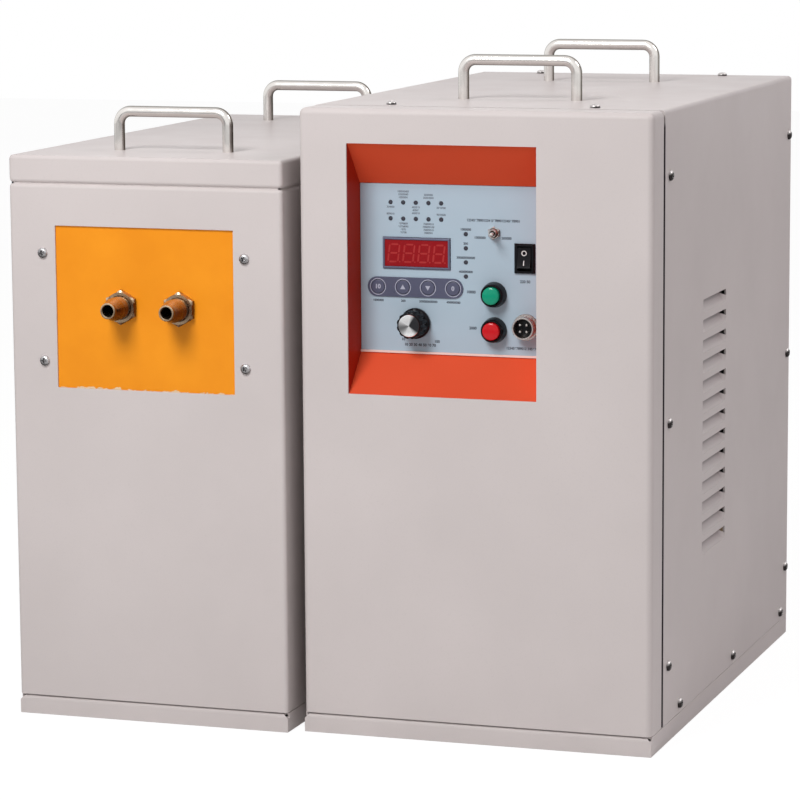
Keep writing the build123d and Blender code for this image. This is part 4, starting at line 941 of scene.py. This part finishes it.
def add_nut(bm, start, direction, across, thickness, bore, chamfer):
    """Hexagon nut with chamfered corners, one corner up."""
    flat = across / 2
    outline = [(0, flat * 1.01), (chamfer, flat * 1.2), (thickness - chamfer, flat * 1.2)]
    outline += [(thickness, flat * 0.99), (thickness, bore + 0.5), (thickness - 0.5, bore)]
    outline += [(0.5, bore), (0, bore + 0.5)]

    def hexagon(angle, distance, radius):
        return min(flat / cos(angle % (pi / 3) - pi / 6), radius)

    add_lathe(bm, start, direction, outline, 72, hexagon)


def threaded(start, end, outer, inner, pitch):
    """Outline of a thread between two distances."""
    points = []
    for number in range(int((end - start) / pitch)):
        foot = start + number * pitch
        points += [(foot + pitch * 0.1, inner), (foot + pitch * 0.45, outer), (foot + pitch * 0.65, outer)]
    return points


def add_text(bm, text, x, z, height, y=PANEL_FACE):
    """Raised figures centred on a point, readable from the front."""
    curve = bpy.data.curves.new("figures", "FONT")
    curve.body = text
    curve.size = height / 0.7
    curve.extrude = 0.02
    curve.offset = height * 0.055
    curve.align_x = "CENTER"
    curve.align_y = "CENTER"
    holder = scene_object("figures", curve)
    mesh = baked(holder)
    upright = Matrix(((1, 0, 0), (0, 0, -1), (0, 1, 0))).to_4x4()
    mesh.transform(Matrix.Translation((x, y, z)) @ upright)
    bm.from_mesh(mesh)
    bpy.data.objects.remove(holder)
    bpy.data.curves.remove(curve)
    bpy.data.meshes.remove(mesh)


def knob_cap_with_painted_reflection():
    """Spun aluminium with a painted reflection: bright and dark fans round the knob's axis."""
    made, tree, shader = material("spun_cap", (0.8, 0.8, 0.82), 0.24, 1.0)
    x, _, z = object_place(tree)
    centre = POWER + Vector(at(KNOB, 0)) * MM
    right = maths(tree, "SUBTRACT", x, centre.x)
    up = maths(tree, "SUBTRACT", z, centre.z)
    angle = maths(tree, "ARCTAN2", up, right)
    wave = maths(tree, "COSINE", maths(tree, "MULTIPLY_ADD", angle, 2.0, -3.67))
    both = maths(tree, "MULTIPLY_ADD", maths(tree, "COSINE", angle), -0.7, wave)
    # Painted reflection: near black to near white by the angle round the knob's axis.
    fan = spread(tree, both, 0.0, 1.0, -0.55, 0.6)
    colours = mixed(tree, fan, (0.05, 0.05, 0.055), (0.97, 0.97, 0.98))
    covered(tree, shader, colours, noise(tree, 900.0), 0.00001)
    return made


def board_material():
    """Orange board with bare chips along the window's lower edge."""
    made, tree, shader = material("outlet_board", (0.93, 0.335, 0.012), 0.42, Specular_IOR_Level=0.25)
    drift = spread(tree, noise(tree, 30.0, 3.0), 0.0, 1.0)
    colour = mixed(tree, drift, (0.88, 0.290, 0.008), (0.94, 0.325, 0.011))
    foot = STATION.z + OUTLET_WINDOW[2] * MM
    low = spread(tree, object_place(tree)[2], 0.50, 0.0, foot, foot + 0.0035)
    chips = spread(tree, maths(tree, "ADD", low, noise(tree, 170.0, 3.0)), 0.0, 1.0, 0.90, 0.93)
    colours = mixed(tree, chips, colour, (0.80, 0.62, 0.40))
    covered(tree, shader, colours, noise(tree, 700.0, 3.0), 0.00005)
    return made


def control_panel():
    """Panel plate with its holes, the standoffs behind it, the pale strip of painted highlight below it and
    the printed figures.
    """
    bm = bmesh.new()
    add_box(bm, PANEL[:2], (PANEL_FACE, PANEL_BACK), PANEL[2:])
    plate = finished("control_panel", bm, FILM)
    holes = [(place, 1.6) for place in LAMPS] + [(place, KEY_HOLE) for place in KEYS] + list(ROUND_HOLES)
    drawing = bmesh.new()
    for place, radius in holes:
        add_turned(drawing, at(place, PANEL_FACE - 1), BACK, [(0, 0), (0, radius), (4, radius), (4, 0)], 40)
    for (x, z), width, height in SQUARE_HOLES:
        across = (x - width / 2, x + width / 2)
        add_box(drawing, across, (PANEL_FACE - 1, PANEL_BACK + 1), (z - height / 2, z + height / 2))
    cut(plate, drawing, POWER)
    softened(plate, 0.22)

    bm = bmesh.new()
    for x in (46, 117):
        for z in (314, 386):
            add_lathe(bm, (x, PANEL_BACK, z), BACK, [(0, 1.2), (0, 2.4), (5.8, 2.4), (5.8, 1.2)], 24)
    piece("panel_standoffs", bm, STEEL, slot="zinc_steel")

    bm = bmesh.new()
    # Thin lip along the panel's lower edge, pale pink as a painted highlight.
    add_box(bm, PANEL[:2], (PANEL_FACE - 1.2, PANEL_FACE), (PANEL[2], PANEL[2] + 1.5))
    piece("recess_edge_highlight_strip", bm, EDGE_HIGHLIGHT, slot="recess_paint")

    bm = bmesh.new()
    for places, number, first, spacing, lines in LAMP_FIGURES:
        x, z = places[number]
        for row, line in enumerate(lines):
            add_text(bm, line, x, z + first + spacing * row, LAMP_FIGURE_HEIGHT)
    piece("panel_small_figures", bm, FAINT_INK, slot="panel_film")

    bm = bmesh.new()
    for lamp, key, line in zip(VALUE_LAMPS, KEYS, VALUE_FIGURES):
        add_text(bm, line, lamp[0], lamp[1] + 3.3, 1.6)
        add_text(bm, line, key[0], key[1] - 9.9, 1.6)
    for line, x, z, size in PANEL_FIGURES:
        add_text(bm, line, x, z, size)
    piece("panel_figures", bm, DARK_INK, slot="panel_film")


def lamps():
    """Fourteen small lamps, domed at the front."""
    bm = bmesh.new()
    for place in LAMPS:
        outline = [(-8, 0), (-8, 1.5), (0, 1.5), (0.18, 1.35), (0.28, 0.9), (0.3, 0)]
        add_turned(bm, at(place, PANEL_FACE), FRONT, outline, 24)
    finished("status_leds", bm, LAMP)


def digit_shapes():
    """Outlines of a figure's seven bars and its point, as (x, z) round its middle."""
    half_width, half_height, tip, gap = 3.7, 6.2, 0.625, 0.22
    reach = half_width - tip - gap
    bar = [(-reach, 0), (-reach + tip, tip), (reach - tip, tip), (reach, 0), (reach - tip, -tip)]
    bar.append((-reach + tip, -tip))
    shapes = [[(x, level + z) for x, z in bar] for level in (-half_height, 0.0, half_height)]
    for side in (-half_width, half_width):
        for low, high in ((-half_height, 0.0), (0.0, half_height)):
            foot, top = low + gap, high - gap
            shapes.append([
                (side, foot), (side + tip, foot + tip), (side + tip, top - tip),
                (side, top), (side - tip, top - tip), (side - tip, foot + tip),
            ])
    shapes.append([(5.2 + x, -half_height + z) for x, z in arc((0, 0), 0.6, 0, 315, 7)])
    return shapes


def display():
    """Frame, lens and the four dark figures behind it."""
    dressed("display_frame", FRAME_PLASTIC, 0.25)
    dressed("display_lens", LENS, 0.15)
    bm = bmesh.new()
    front = 27.2
    slant = tan(radians(7))
    for number in range(4):
        centre = DISPLAY[0] + (number - 1.5) * 11.2
        for shape in digit_shapes():
            add_prism(bm, [(centre + x + z * slant, DISPLAY[1] + z) for x, z in shape], front - 0.02, front)
    piece("display_figures", bm, DIGITS, slot="display_lens")


def keypad():
    """Key strip with a pale ring round each key, and the keys."""
    bm = bmesh.new()
    low, high = 41.3, 112.6
    radius = 7.05
    middle = KEYS[0][1]
    outline = arc((low + radius, middle), radius, 90, 270, 24)
    outline += arc((high - radius, middle), radius, -90, 90, 24)
    add_prism(bm, outline, PANEL_FACE - 0.8, PANEL_FACE)
    strip = finished("keypad_overlay", bm, KEYPAD)
    drawing = bmesh.new()
    hole = [(0, 0), (0, KEY_HOLE), (3, KEY_HOLE), (3, 0)]
    for place in KEYS:
        add_turned(drawing, at(place, PANEL_FACE - 2), BACK, hole, 48)
    cut(strip, drawing, POWER)
    softened(strip, 0.12)

    bm = bmesh.new()
    ring = [(0, 5.45), (0.02, 5.45), (0.02, 5.95), (0, 5.95)]
    for place in KEYS:
        add_lathe(bm, at(place, PANEL_FACE - 0.8), FRONT, ring, 64)
    piece("key_rings", bm, PALE_INK, slot="keypad")
    outline = [(-6, 0), (-6, 1.7), (-0.9, 1.7), (-0.9, 4.8), (0.95, 4.8), (1.07, 4.6), (1.1, 4.2), (1.1, 0)]
    face = PANEL_FACE - 1.1
    for number, (x, z) in enumerate(KEYS, 1):
        body = f"key_{number}"
        turned(f"display_{body}", KEYPAD, (x, PANEL_FACE, z), FRONT, outline, 48, body=body)
        bm = bmesh.new()
        if number in (1, 4):
            add_text(bm, "10" if number == 1 else "0", x, z, 3.0, face)
        else:
            up = 1 if number == 2 else -1
            corners = [(x + a, z + up * b) for a, b in ((-1.9, -1.4), (1.9, -1.4), (0, 1.9))]
            add_prism(bm, corners, face - 0.02, face)
        piece(body + "_figure", bm, PALE_INK, body=body, slot="keypad")


# Knob, switches, buttons and socket; outlines are (distance, radius) points
KNOB_LIFT = 0.6
KNOB_HEIGHT = 14.9
TOGGLE_PIVOT = 24.5
TOGGLE_LEAN = radians(12.0)
ROCKER_SLOPE = Vector((0, -0.951, 0.309))
ROCKER_UP = Vector((0, 0.309, 0.951))
INK = 0.03
BUTTON_FOOT = 26.0
PIN_CIRCLE = 3.4


def knob():
    """Fluted knob with a spun cap, its potentiometer and shaft."""
    foot = PANEL_FACE - KNOB_LIFT

    def flutes(angle, distance, radius):
        if distance < 3.2 or distance > 14.7:
            return radius
        return radius * (1.0 - 0.105 * (1.0 - abs(sin(6 * angle))) ** 1.3)

    outline = [
        (0, 7.2), (0, 10.8), (0.3, 11), (2, 11), (2.5, 10.6), (3.1, 9.9), (3.3, 9.9), (13.9, 9.75),
        (14.5, 9.4), (14.8, 8.9), (14.9, 8.2), (14.9, 3.1), (10.4, 3.1), (10.4, 7.2),
    ]
    knob_at = at(KNOB, foot)
    turned("power_knob", BLACK, knob_at, FRONT, outline, 192, add_lathe, flutes, body="knob", angle=38.0)
    cap = [(0, 0), (0, 7.9), (0.55, 7.9), (0.9, 7.65), (1, 7.2), (0.92, 6.7), (0.98, 3), (1, 0)]
    turned("knob_cap", knob_cap_with_painted_reflection(), at(KNOB, foot - KNOB_HEIGHT), FRONT, cap, 96, body="knob")
    dressed("potentiometer", STEEL, 0.25)
    dressed("potentiometer_shaft", STEEL, 0.2, "knob")


def toggle():
    """Bushing and leaning bat lever."""
    bm = bmesh.new()
    bushing = [(0, 2.2), (0, 3)] + threaded(2.2, 7.0, 3.0, 2.75, 0.6) + [(7.2, 2.9), (7.5, 2.6), (7.5, 2.2)]
    add_lathe(bm, at(TOGGLE, PANEL_BACK), FRONT, bushing, 48)
    x, z = TOGGLE
    add_box(bm, (x - 4.0, x + 4.0), (PANEL_BACK, PANEL_BACK + 10.0), (z - 6.5, z + 6.5))
    finished("toggle_housing", bm, BRIGHT)
    bat = [(-1.9, 0), (-1.8, 0.9), (-1.1, 1.6), (0, 1.9), (1.1, 1.55), (1.7, 1.1), (8.4, 1.5), (10, 1.62)]
    bat += [(10.9, 1.45), (11.4, 0.9), (11.5, 0)]
    leaning = (sin(TOGGLE_LEAN), -cos(TOGGLE_LEAN), 0)
    turned("toggle_lever", BRIGHT, at(TOGGLE, TOGGLE_PIVOT), leaning, bat, 40, body="toggle")


def rocker():
    """Rocker switch with its two marks."""
    dressed("rocker_housing", BLACK, 0.3)
    dressed("rocker_paddle", BLACK, 0.35, "rocker")
    bm = bmesh.new()
    x, z = ROCKER
    add_lathe(bm, (x, 25.63, z + 3.9), FRONT, [(0, 1.35), (INK, 1.35), (INK, 1.9), (0, 1.9)], 40)
    centre = Vector((x, 24.5, z - 2.95))
    corners = []
    for a, b in ((-0.3, -1.8), (0.3, -1.8), (0.3, 1.8), (-0.3, 1.8)):
        corners.append(bm.verts.new(centre + Vector((a, 0, 0)) + ROCKER_UP * b + ROCKER_SLOPE * INK))
    bm.faces.new(corners)
    piece("rocker_marks", bm, WHITE_INK, body="rocker", slot="black_plastic")


def buttons():
    """Start and stop buttons in their black collars."""
    bm = bmesh.new()
    outline = [
        (-16, 2.8), (-16, 7.8), (0, 7.8), (0, 9.1), (0.3, 9.2), (1, 9.15), (6.6, 8.25), (7.5, 7.95),
        (7.9, 7.55), (8, 7.1), (7.85, 6.7), (7.4, 6.5), (-1, 6.5), (-1, 2.8),
    ]
    for place in (START, STOP):
        add_lathe(bm, at(place, PANEL_FACE), FRONT, outline, 72)
    finished("button_housings", bm, BLACK)
    cap = [(-8.8, 0), (-8.8, 2.5), (0, 2.5), (0, 6.2), (7.4, 6.2), (7.9, 6.05), (8.25, 5.6), (8.55, 4.6)]
    cap += [(8.78, 3.2), (8.93, 1.7), (9, 0)]
    for name, place, surface in (("start_button", START, GREEN), ("stop_button", STOP, RED)):
        turned(name + "_cap", surface, at(place, BUTTON_FOOT), FRONT, cap, 72, body=name)


def socket():
    """Round socket: threaded shell, insert and four pins."""
    shell = [(-12, 6.7), (-12, 7.9), (0, 7.9), (0, 9.2), (0.2, 9.4), (1.4, 9.4), (1.75, 9.1), (1.8, 8)]
    shell += threaded(2.0, 8.0, 8.0, 7.75, 0.75) + [(8.5, 7.95), (8.9, 7.7), (9, 7.3), (8.9, 6.9), (8.6, 6.7)]
    turned("remote_socket_shell", DULL_NICKEL, at(SOCKET, PANEL_FACE), FRONT, shell, 96, add_lathe)
    insert = [(0, 0), (0, 6.1), (0.3, 6.6), (16, 6.68), (16, 0)]
    turned("remote_socket_insert", BLACK, at(SOCKET, 24.0), BACK, insert, 64)
    bm = bmesh.new()
    for number in range(4):
        angle = pi / 2 * (number + 0.5)
        place = (SOCKET[0] + PIN_CIRCLE * cos(angle), SOCKET[1] + PIN_CIRCLE * sin(angle))
        add_turned(bm, at(place, 24.2), FRONT, [(0, 0), (0, 1), (2.9, 1), (3.4, 0.7), (3.6, 0)], 24)
    piece("socket_pins", bm, DULL_NICKEL, slot="nickel")


def panel_nuts():
    """Nuts that hold the controls."""
    bm = bmesh.new()
    add_nut(bm, at(KNOB, PANEL_FACE), FRONT, 10.0, 2.5, 3.5, 0.4)
    add_nut(bm, at(TOGGLE, PANEL_FACE), FRONT, 8.0, 2.5, 3.0, 0.4)
    for place, outer, bore in ((SOCKET, 11.3, 8.05), (START, 11.1, 7.85), (STOP, 11.1, 7.85)):
        ring = [(0, bore), (0, outer - 0.3), (0.3, outer), (2.2, outer), (2.5, outer - 0.3), (2.5, bore)]
        add_lathe(bm, at(place, PANEL_BACK), BACK, ring, 64)
    finished("panel_nuts", bm, BRIGHT, angle=28.0)


control_panel()
lamps()
display()
keypad()
knob()
toggle()
rocker()
buttons()
socket()
panel_nuts()


# Outlets in the heating station's front
OUTLETS = (87, 132)
OUTLET_HEIGHT = 305.0
BOARD = ((18.8, 190.5), (1.5, 7.5), (227.5, 379.5))


def outlet_front():
    """Board, brass outlets and their nuts."""
    bm = bmesh.new()
    add_box(bm, *BOARD)
    board = finished("outlet_board", bm, board_material(), STATION)
    drawing = bmesh.new()
    for x in OUTLETS:
        add_turned(drawing, (x, 0, OUTLET_HEIGHT), BACK, [(0, 0), (0, 8.45), (9, 8.45), (9, 0)], 48)
    for seat, _ in station_screw_places()[:4]:
        add_turned(drawing, seat, BACK, [(0, 0), (0, 2.3), (9, 2.3), (9, 0)], 24)
    cut(board, drawing, STATION)
    softened(board, 0.3)

    bm = bmesh.new()
    nuts = bmesh.new()
    outline = [(-36, 3.4), (-36, 7.9), (-35.4, 8.25), (5, 8.25), (5, 7.3), (7.4, 7.3), (7.6, 7.6)]
    outline += threaded(7.7, 16.4, 8.3, 8.0, 1.25)
    outline += [(16.5, 8.1), (16.9, 8.05), (23.6, 5.95), (24, 5.8), (26.5, 5.8), (26.9, 5.5), (27, 5.2)]
    outline += [(27, 4.7), (26.4, 4.2), (14, 3.9)]
    front, back = BOARD[1]
    for x in OUTLETS:
        add_lathe(bm, (x, front, OUTLET_HEIGHT), FRONT, outline, 72)
        add_nut(nuts, (x, front, OUTLET_HEIGHT), FRONT, 22.0, 5.0, 8.3, 0.9)
        add_nut(nuts, (x, back, OUTLET_HEIGHT), BACK, 22.0, 5.0, 8.3, 0.9)
    finished("outlet_nipples", bm, OUTLET_BRASS, STATION)
    finished("outlet_nuts", nuts, OUTLET_BRASS, STATION, angle=28.0)


# Rear of both cabinets
POWER_REAR = 426.0
STATION_REAR = 419.0
STATION_SHIFT = (STATION - POWER) / MM
HOSE_HEIGHT = 84.0
POWER_HOSES = (50.0, 98.0, 160.0, 208.0)
STATION_HOSES = (66, 145)
GLAND = (212, 205)
POWER_TERMINALS = (90, 205)
STATION_TERMINALS = (105.5, 235)
TERMINAL_BOARD = 8.0
FAN = (178, 352)
FAN_WIDTH = 120.0
FAN_DEPTH = 38.0
FAN_HOLES = [(FAN[0] + x, FAN[1] + z) for x in (-52.5, 52.5) for z in (-52.5, 52.5)]
BLADES = 7
BLADE_FOOT = 21.5
BLADE_TIP = 53.4
BLADE_STEPS = 5


def hose_tails():
    """Barbed tails with their nuts, on both rears."""
    bm = bmesh.new()
    places = [Vector((x, POWER_REAR, HOSE_HEIGHT)) for x in POWER_HOSES]
    places += [Vector((x, STATION_REAR, HOSE_HEIGHT)) + STATION_SHIFT for x in STATION_HOSES]
    tail = [(-16, 3.2), (-16, 6.2), (-15.4, 6.5), (0, 6.5), (0, 5), (14, 5), (14.6, 5.8), (15.2, 5.8)]
    tail += [(22.8, 5), (23.4, 5.8), (24, 5.8), (31.4, 5), (32, 4.4), (32, 3.2)]
    for place in places:
        add_lathe(bm, place, BACK, tail, 48)
        add_nut(bm, place, BACK, 17.0, 6.0, 5.0, 0.7)
    finished("water_fittings", bm, BRASS, angle=28.0)


def terminals():
    """Studs on their boards, and the screws of the boards and of the fan."""
    bm = bmesh.new()
    seats = []
    stud = [(-26, 0), (-26, 4.7), (-25.6, 5), (5.2, 5), (5.6, 4.6)] + threaded(6.0, 26.0, 5.0, 4.5, 1.2)
    stud += [(26.4, 4.7), (27, 4), (27, 0)]
    for (x, z), rear, shift in (
        (POWER_TERMINALS, POWER_REAR, Vector()),
        (STATION_TERMINALS, STATION_REAR, STATION_SHIFT),
    ):
        face = Vector((x, rear + TERMINAL_BOARD, z))
        for side in (-28, 28):
            start = face + Vector((side, 0, 0)) + shift
            add_turned(bm, start, BACK, stud, 40)
            add_nut(bm, start, BACK, 15.6, 5.0, 5.0, 0.6)
        seats += [(face + Vector((a, 0, b)) + shift, BACK) for a in (-51, 51) for b in (-22, 22)]
    finished("terminal_studs", bm, COPPER, angle=28.0)
    dressed("terminal_boards", PHENOLIC, 0.3)
    seats += [(at(hole, POWER_REAR), BACK) for hole in FAN_HOLES]
    screws("rear_screw_heads", seats, POWER)


def cable_gland():
    """Cable gland with its two nuts."""
    def ridges(angle, distance, radius):
        return radius * 0.98 if 9 < distance < 18 and cos(24 * angle) > 0.6 else radius

    bm = bmesh.new()
    outline = [(-12, 8), (-12, 14)] + threaded(-11.5, -6.5, 14.0, 13.3, 1.5) + [(-6, 14), (6, 14)]
    outline += [(7, 13.2), (8, 13.2), (9, 14), (17, 14), (19, 13.3), (21, 12), (22, 11)]
    outline.append((22, 8))
    add_lathe(bm, at(GLAND, POWER_REAR), BACK, outline, 64, ridges)
    add_nut(bm, at(GLAND, POWER_REAR), BACK, 32.0, 6.0, 13.9, 1.0)
    add_nut(bm, at(GLAND, POWER_REAR - SHEET), FRONT, 32.0, 6.0, 13.9, 1.0)
    finished("cable_gland", bm, GREY, angle=28.0)


def fan_frame(front, rear):
    """Square frame with a round duct, and the stator held by three arms."""
    half = FAN_WIDTH / 2
    bm = bmesh.new()
    add_box(bm, (FAN[0] - half, FAN[0] + half), (front, rear), (FAN[1] - half, FAN[1] + half))
    upright = [edge for edge in bm.edges if abs(edge.verts[0].co.y - edge.verts[1].co.y) > 1]
    bmesh.ops.bevel(bm, geom=upright, offset=5.0, segments=5, profile=0.5, affect="EDGES")
    housing = finished("fan_housing", bm, BLACK)
    drawing = bmesh.new()
    duct = [(0, 0), (0, 58.4), (2, 57.6), (4, 57), (36, 57), (38, 57.6), (40, 58.4), (40, 0)]
    add_turned(drawing, at(FAN, front - 1), BACK, duct, 96)
    for hole in FAN_HOLES:
        add_turned(drawing, at(hole, front - 1), BACK, [(0, 0), (0, 2.2), (40, 2.2), (40, 0)], 20)
    cut(housing, drawing, POWER)
    shaded(housing.data, 35.0)

    bm = bmesh.new()
    stator = [(0, 0), (0, 19.4), (0.6, 20), (9.4, 20), (10, 19.4), (10, 0)]
    add_turned(bm, at(FAN, rear - 10.0), BACK, stator, 64)
    for number in range(3):
        angle = 2 * pi * number / 3
        along = Vector((cos(angle), 0, -sin(angle)))
        across = Vector((sin(angle), 0, cos(angle)))
        add_block(bm, [
            Vector(at(FAN, y)) + along * reach + across * side
            for reach in (18, 57.3) for side in (-2.3, 2.3) for y in (rear - 9.8, rear - 0.3)
        ])
    piece("fan_stator", bm, BLACK, slot="black_plastic")


def blade_row(step, turn, middle):
    """Section of one blade, thick in its middle and twisted more towards the tip."""
    radius = BLADE_FOOT + (BLADE_TIP - BLADE_FOOT) * step / BLADE_STEPS
    twist = radians(48.0 + 14.0 * step / BLADE_STEPS)
    row = []
    for side in (-1, 1):
        for share in (-1.0, -0.5, 0.0, 0.5, 1.0):
            chord = 9.6 * share * side
            camber = 1.6 * (1 - share**2) + side * 0.7 * (1 - 0.7 * abs(share))
            tangent = chord * sin(twist) + camber * cos(twist)
            depth = chord * cos(twist) - camber * sin(twist)
            angle = turn + tangent / radius
            row.append(Vector((FAN[0] + radius * sin(angle), middle + depth, FAN[1] + radius * cos(angle))))
    return row


def fan_rotor(rear):
    """Hub on its shaft, with curved blades."""
    bm = bmesh.new()
    hub = [(0, 0), (0, 19.5), (0.8, 21.4), (2, 22), (23.4, 22), (24, 21.4), (24, 0)]
    add_turned(bm, at(FAN, rear - 24.0), BACK, hub, 64)
    add_turned(bm, at(FAN, rear - 0.5), BACK, [(0, 0), (0, 2.5), (8.5, 2.5), (8.5, 0)], 24)
    for number in range(BLADES):
        turn = 2 * pi * number / BLADES
        add_capped(bm, [blade_row(step, turn, rear - 12.0) for step in range(BLADE_STEPS + 1)])
    finished("fan_rotor", bm, BLACK, body="fan", angle=35.0)


outlet_front()
hose_tails()
terminals()
cable_gland()
dressed("circuit_breaker", GREY, 0.5)
dressed("breaker_lever", BLACK, 0.6, "breaker")
fan_frame(POWER_REAR - SHEET - FAN_DEPTH, POWER_REAR - SHEET)
fan_rotor(POWER_REAR - SHEET - 11.0)
for node, surface, width in (
    ("power_chassis_tray", STEEL, 0.3),
    ("station_chassis_tray", STEEL, 0.3),
    ("control_board", SOLDER_MASK, 0.15),
    ("cold_plate", SPUN, 0.4),
    ("power_modules", BLACK, 0.6),
    ("dc_capacitors", CAPACITOR, 0.6),
    ("control_transformer", FERRITE, 0.5),
    ("transformer_core", FERRITE, 0.8),
    ("transformer_windings", WINDING, 0.8),
    ("resonant_capacitors", CAPACITOR, 0.6),
):
    dressed(node, surface, width)


# Floor and light
WHITE = (1.0, 1.0, 1.0, 1.0)
FLOOR_REACH = 6.0
FLOOR_GLOW = 1.08
FLOOR_GLOW_SHARE = 0.87
SOFT_LIGHT = 0.22
LAMP_AIM = Vector((0.0, 0.0, 0.22))
STUDIO_LAMPS = (
    ("key_lamp", (-0.2, -1.2, 1.32), 0.55, 16.4, (1.0, 1.0, 1.0)),
    ("top_lamp", (0.5, 0.4, 1.9), 1.0, 1.2, (1.0, 0.945, 0.965)),
    ("side_lamp", (1.8, 0.3, 1.9), 0.8, 15.0, (1.0, 0.945, 0.965)),
)


def blended(tree, share, first, second, output):
    """Mixes two shaders and feeds them to an output."""
    mix = new_node(tree, "MixShader")
    for number, value in enumerate((share, first, second)):
        tree.links.new(value, mix.inputs[number])
    tree.links.new(mix.outputs["Shader"], tree.nodes[output].inputs["Surface"])


def floor():
    """Pale floor that keeps the shadows; the camera sees it nearly white."""
    surface, tree, shader = material("floor", (0.86, 0.86, 0.86), 0.7)
    tree.links.new(spread(tree, noise(tree, 3.0), 0.66, 0.74), shader.inputs["Roughness"])
    bm = bmesh.new()
    reach = FLOOR_REACH
    corners = ((-reach, -reach), (reach, -reach), (reach, reach), (-reach, reach))
    bm.faces.new([bm.verts.new((x, y, 0.0)) for x, y in corners])
    linked("floor", bm, surface)
    glow = new_node(tree, "Emission", Color=WHITE, Strength=FLOOR_GLOW)
    seen = new_node(tree, "LightPath").outputs["Is Camera Ray"]
    share = maths(tree, "MULTIPLY", seen, FLOOR_GLOW_SHARE)
    blended(tree, share, shader.outputs["BSDF"], glow.outputs["Emission"], "Material Output")


def surroundings():
    """Soft world light, white to the camera and in what metal and glass show."""
    world = bpy.data.worlds.new("studio")
    world.use_nodes = True
    bpy.context.scene.world = world
    tree = world.node_tree
    soft = tree.nodes["Background"]
    soft.inputs["Color"].default_value = (1.0, 0.985, 0.98, 1.0)
    soft.inputs["Strength"].default_value = SOFT_LIGHT
    white = new_node(tree, "Background", Color=WHITE, Strength=1.0)
    seen = new_node(tree, "LightPath").outputs
    direct = maths(tree, "MAXIMUM", seen["Is Camera Ray"], seen["Is Glossy Ray"])
    share = maths(tree, "MAXIMUM", direct, seen["Is Transmission Ray"])
    blended(tree, share, soft.outputs["Background"], white.outputs["Background"], "World Output")


def studio_lamps():
    """Soft square lamps, aimed at the cabinets."""
    for name, place, size, power, tint in STUDIO_LAMPS:
        data = bpy.data.lights.new(name, "AREA")
        data.shape = "SQUARE"
        data.size = size
        data.energy = power
        data.color = tint
        lamp = scene_object(name, data)
        lamp.location = place
        lamp.rotation_mode = "QUATERNION"
        lamp.rotation_quaternion = (LAMP_AIM - Vector(place)).to_track_quat("-Z", "Y")


floor()
surroundings()
studio_lamps()
bpy.context.scene.view_settings.view_transform = "Standard"
bpy.context.view_layer.update()
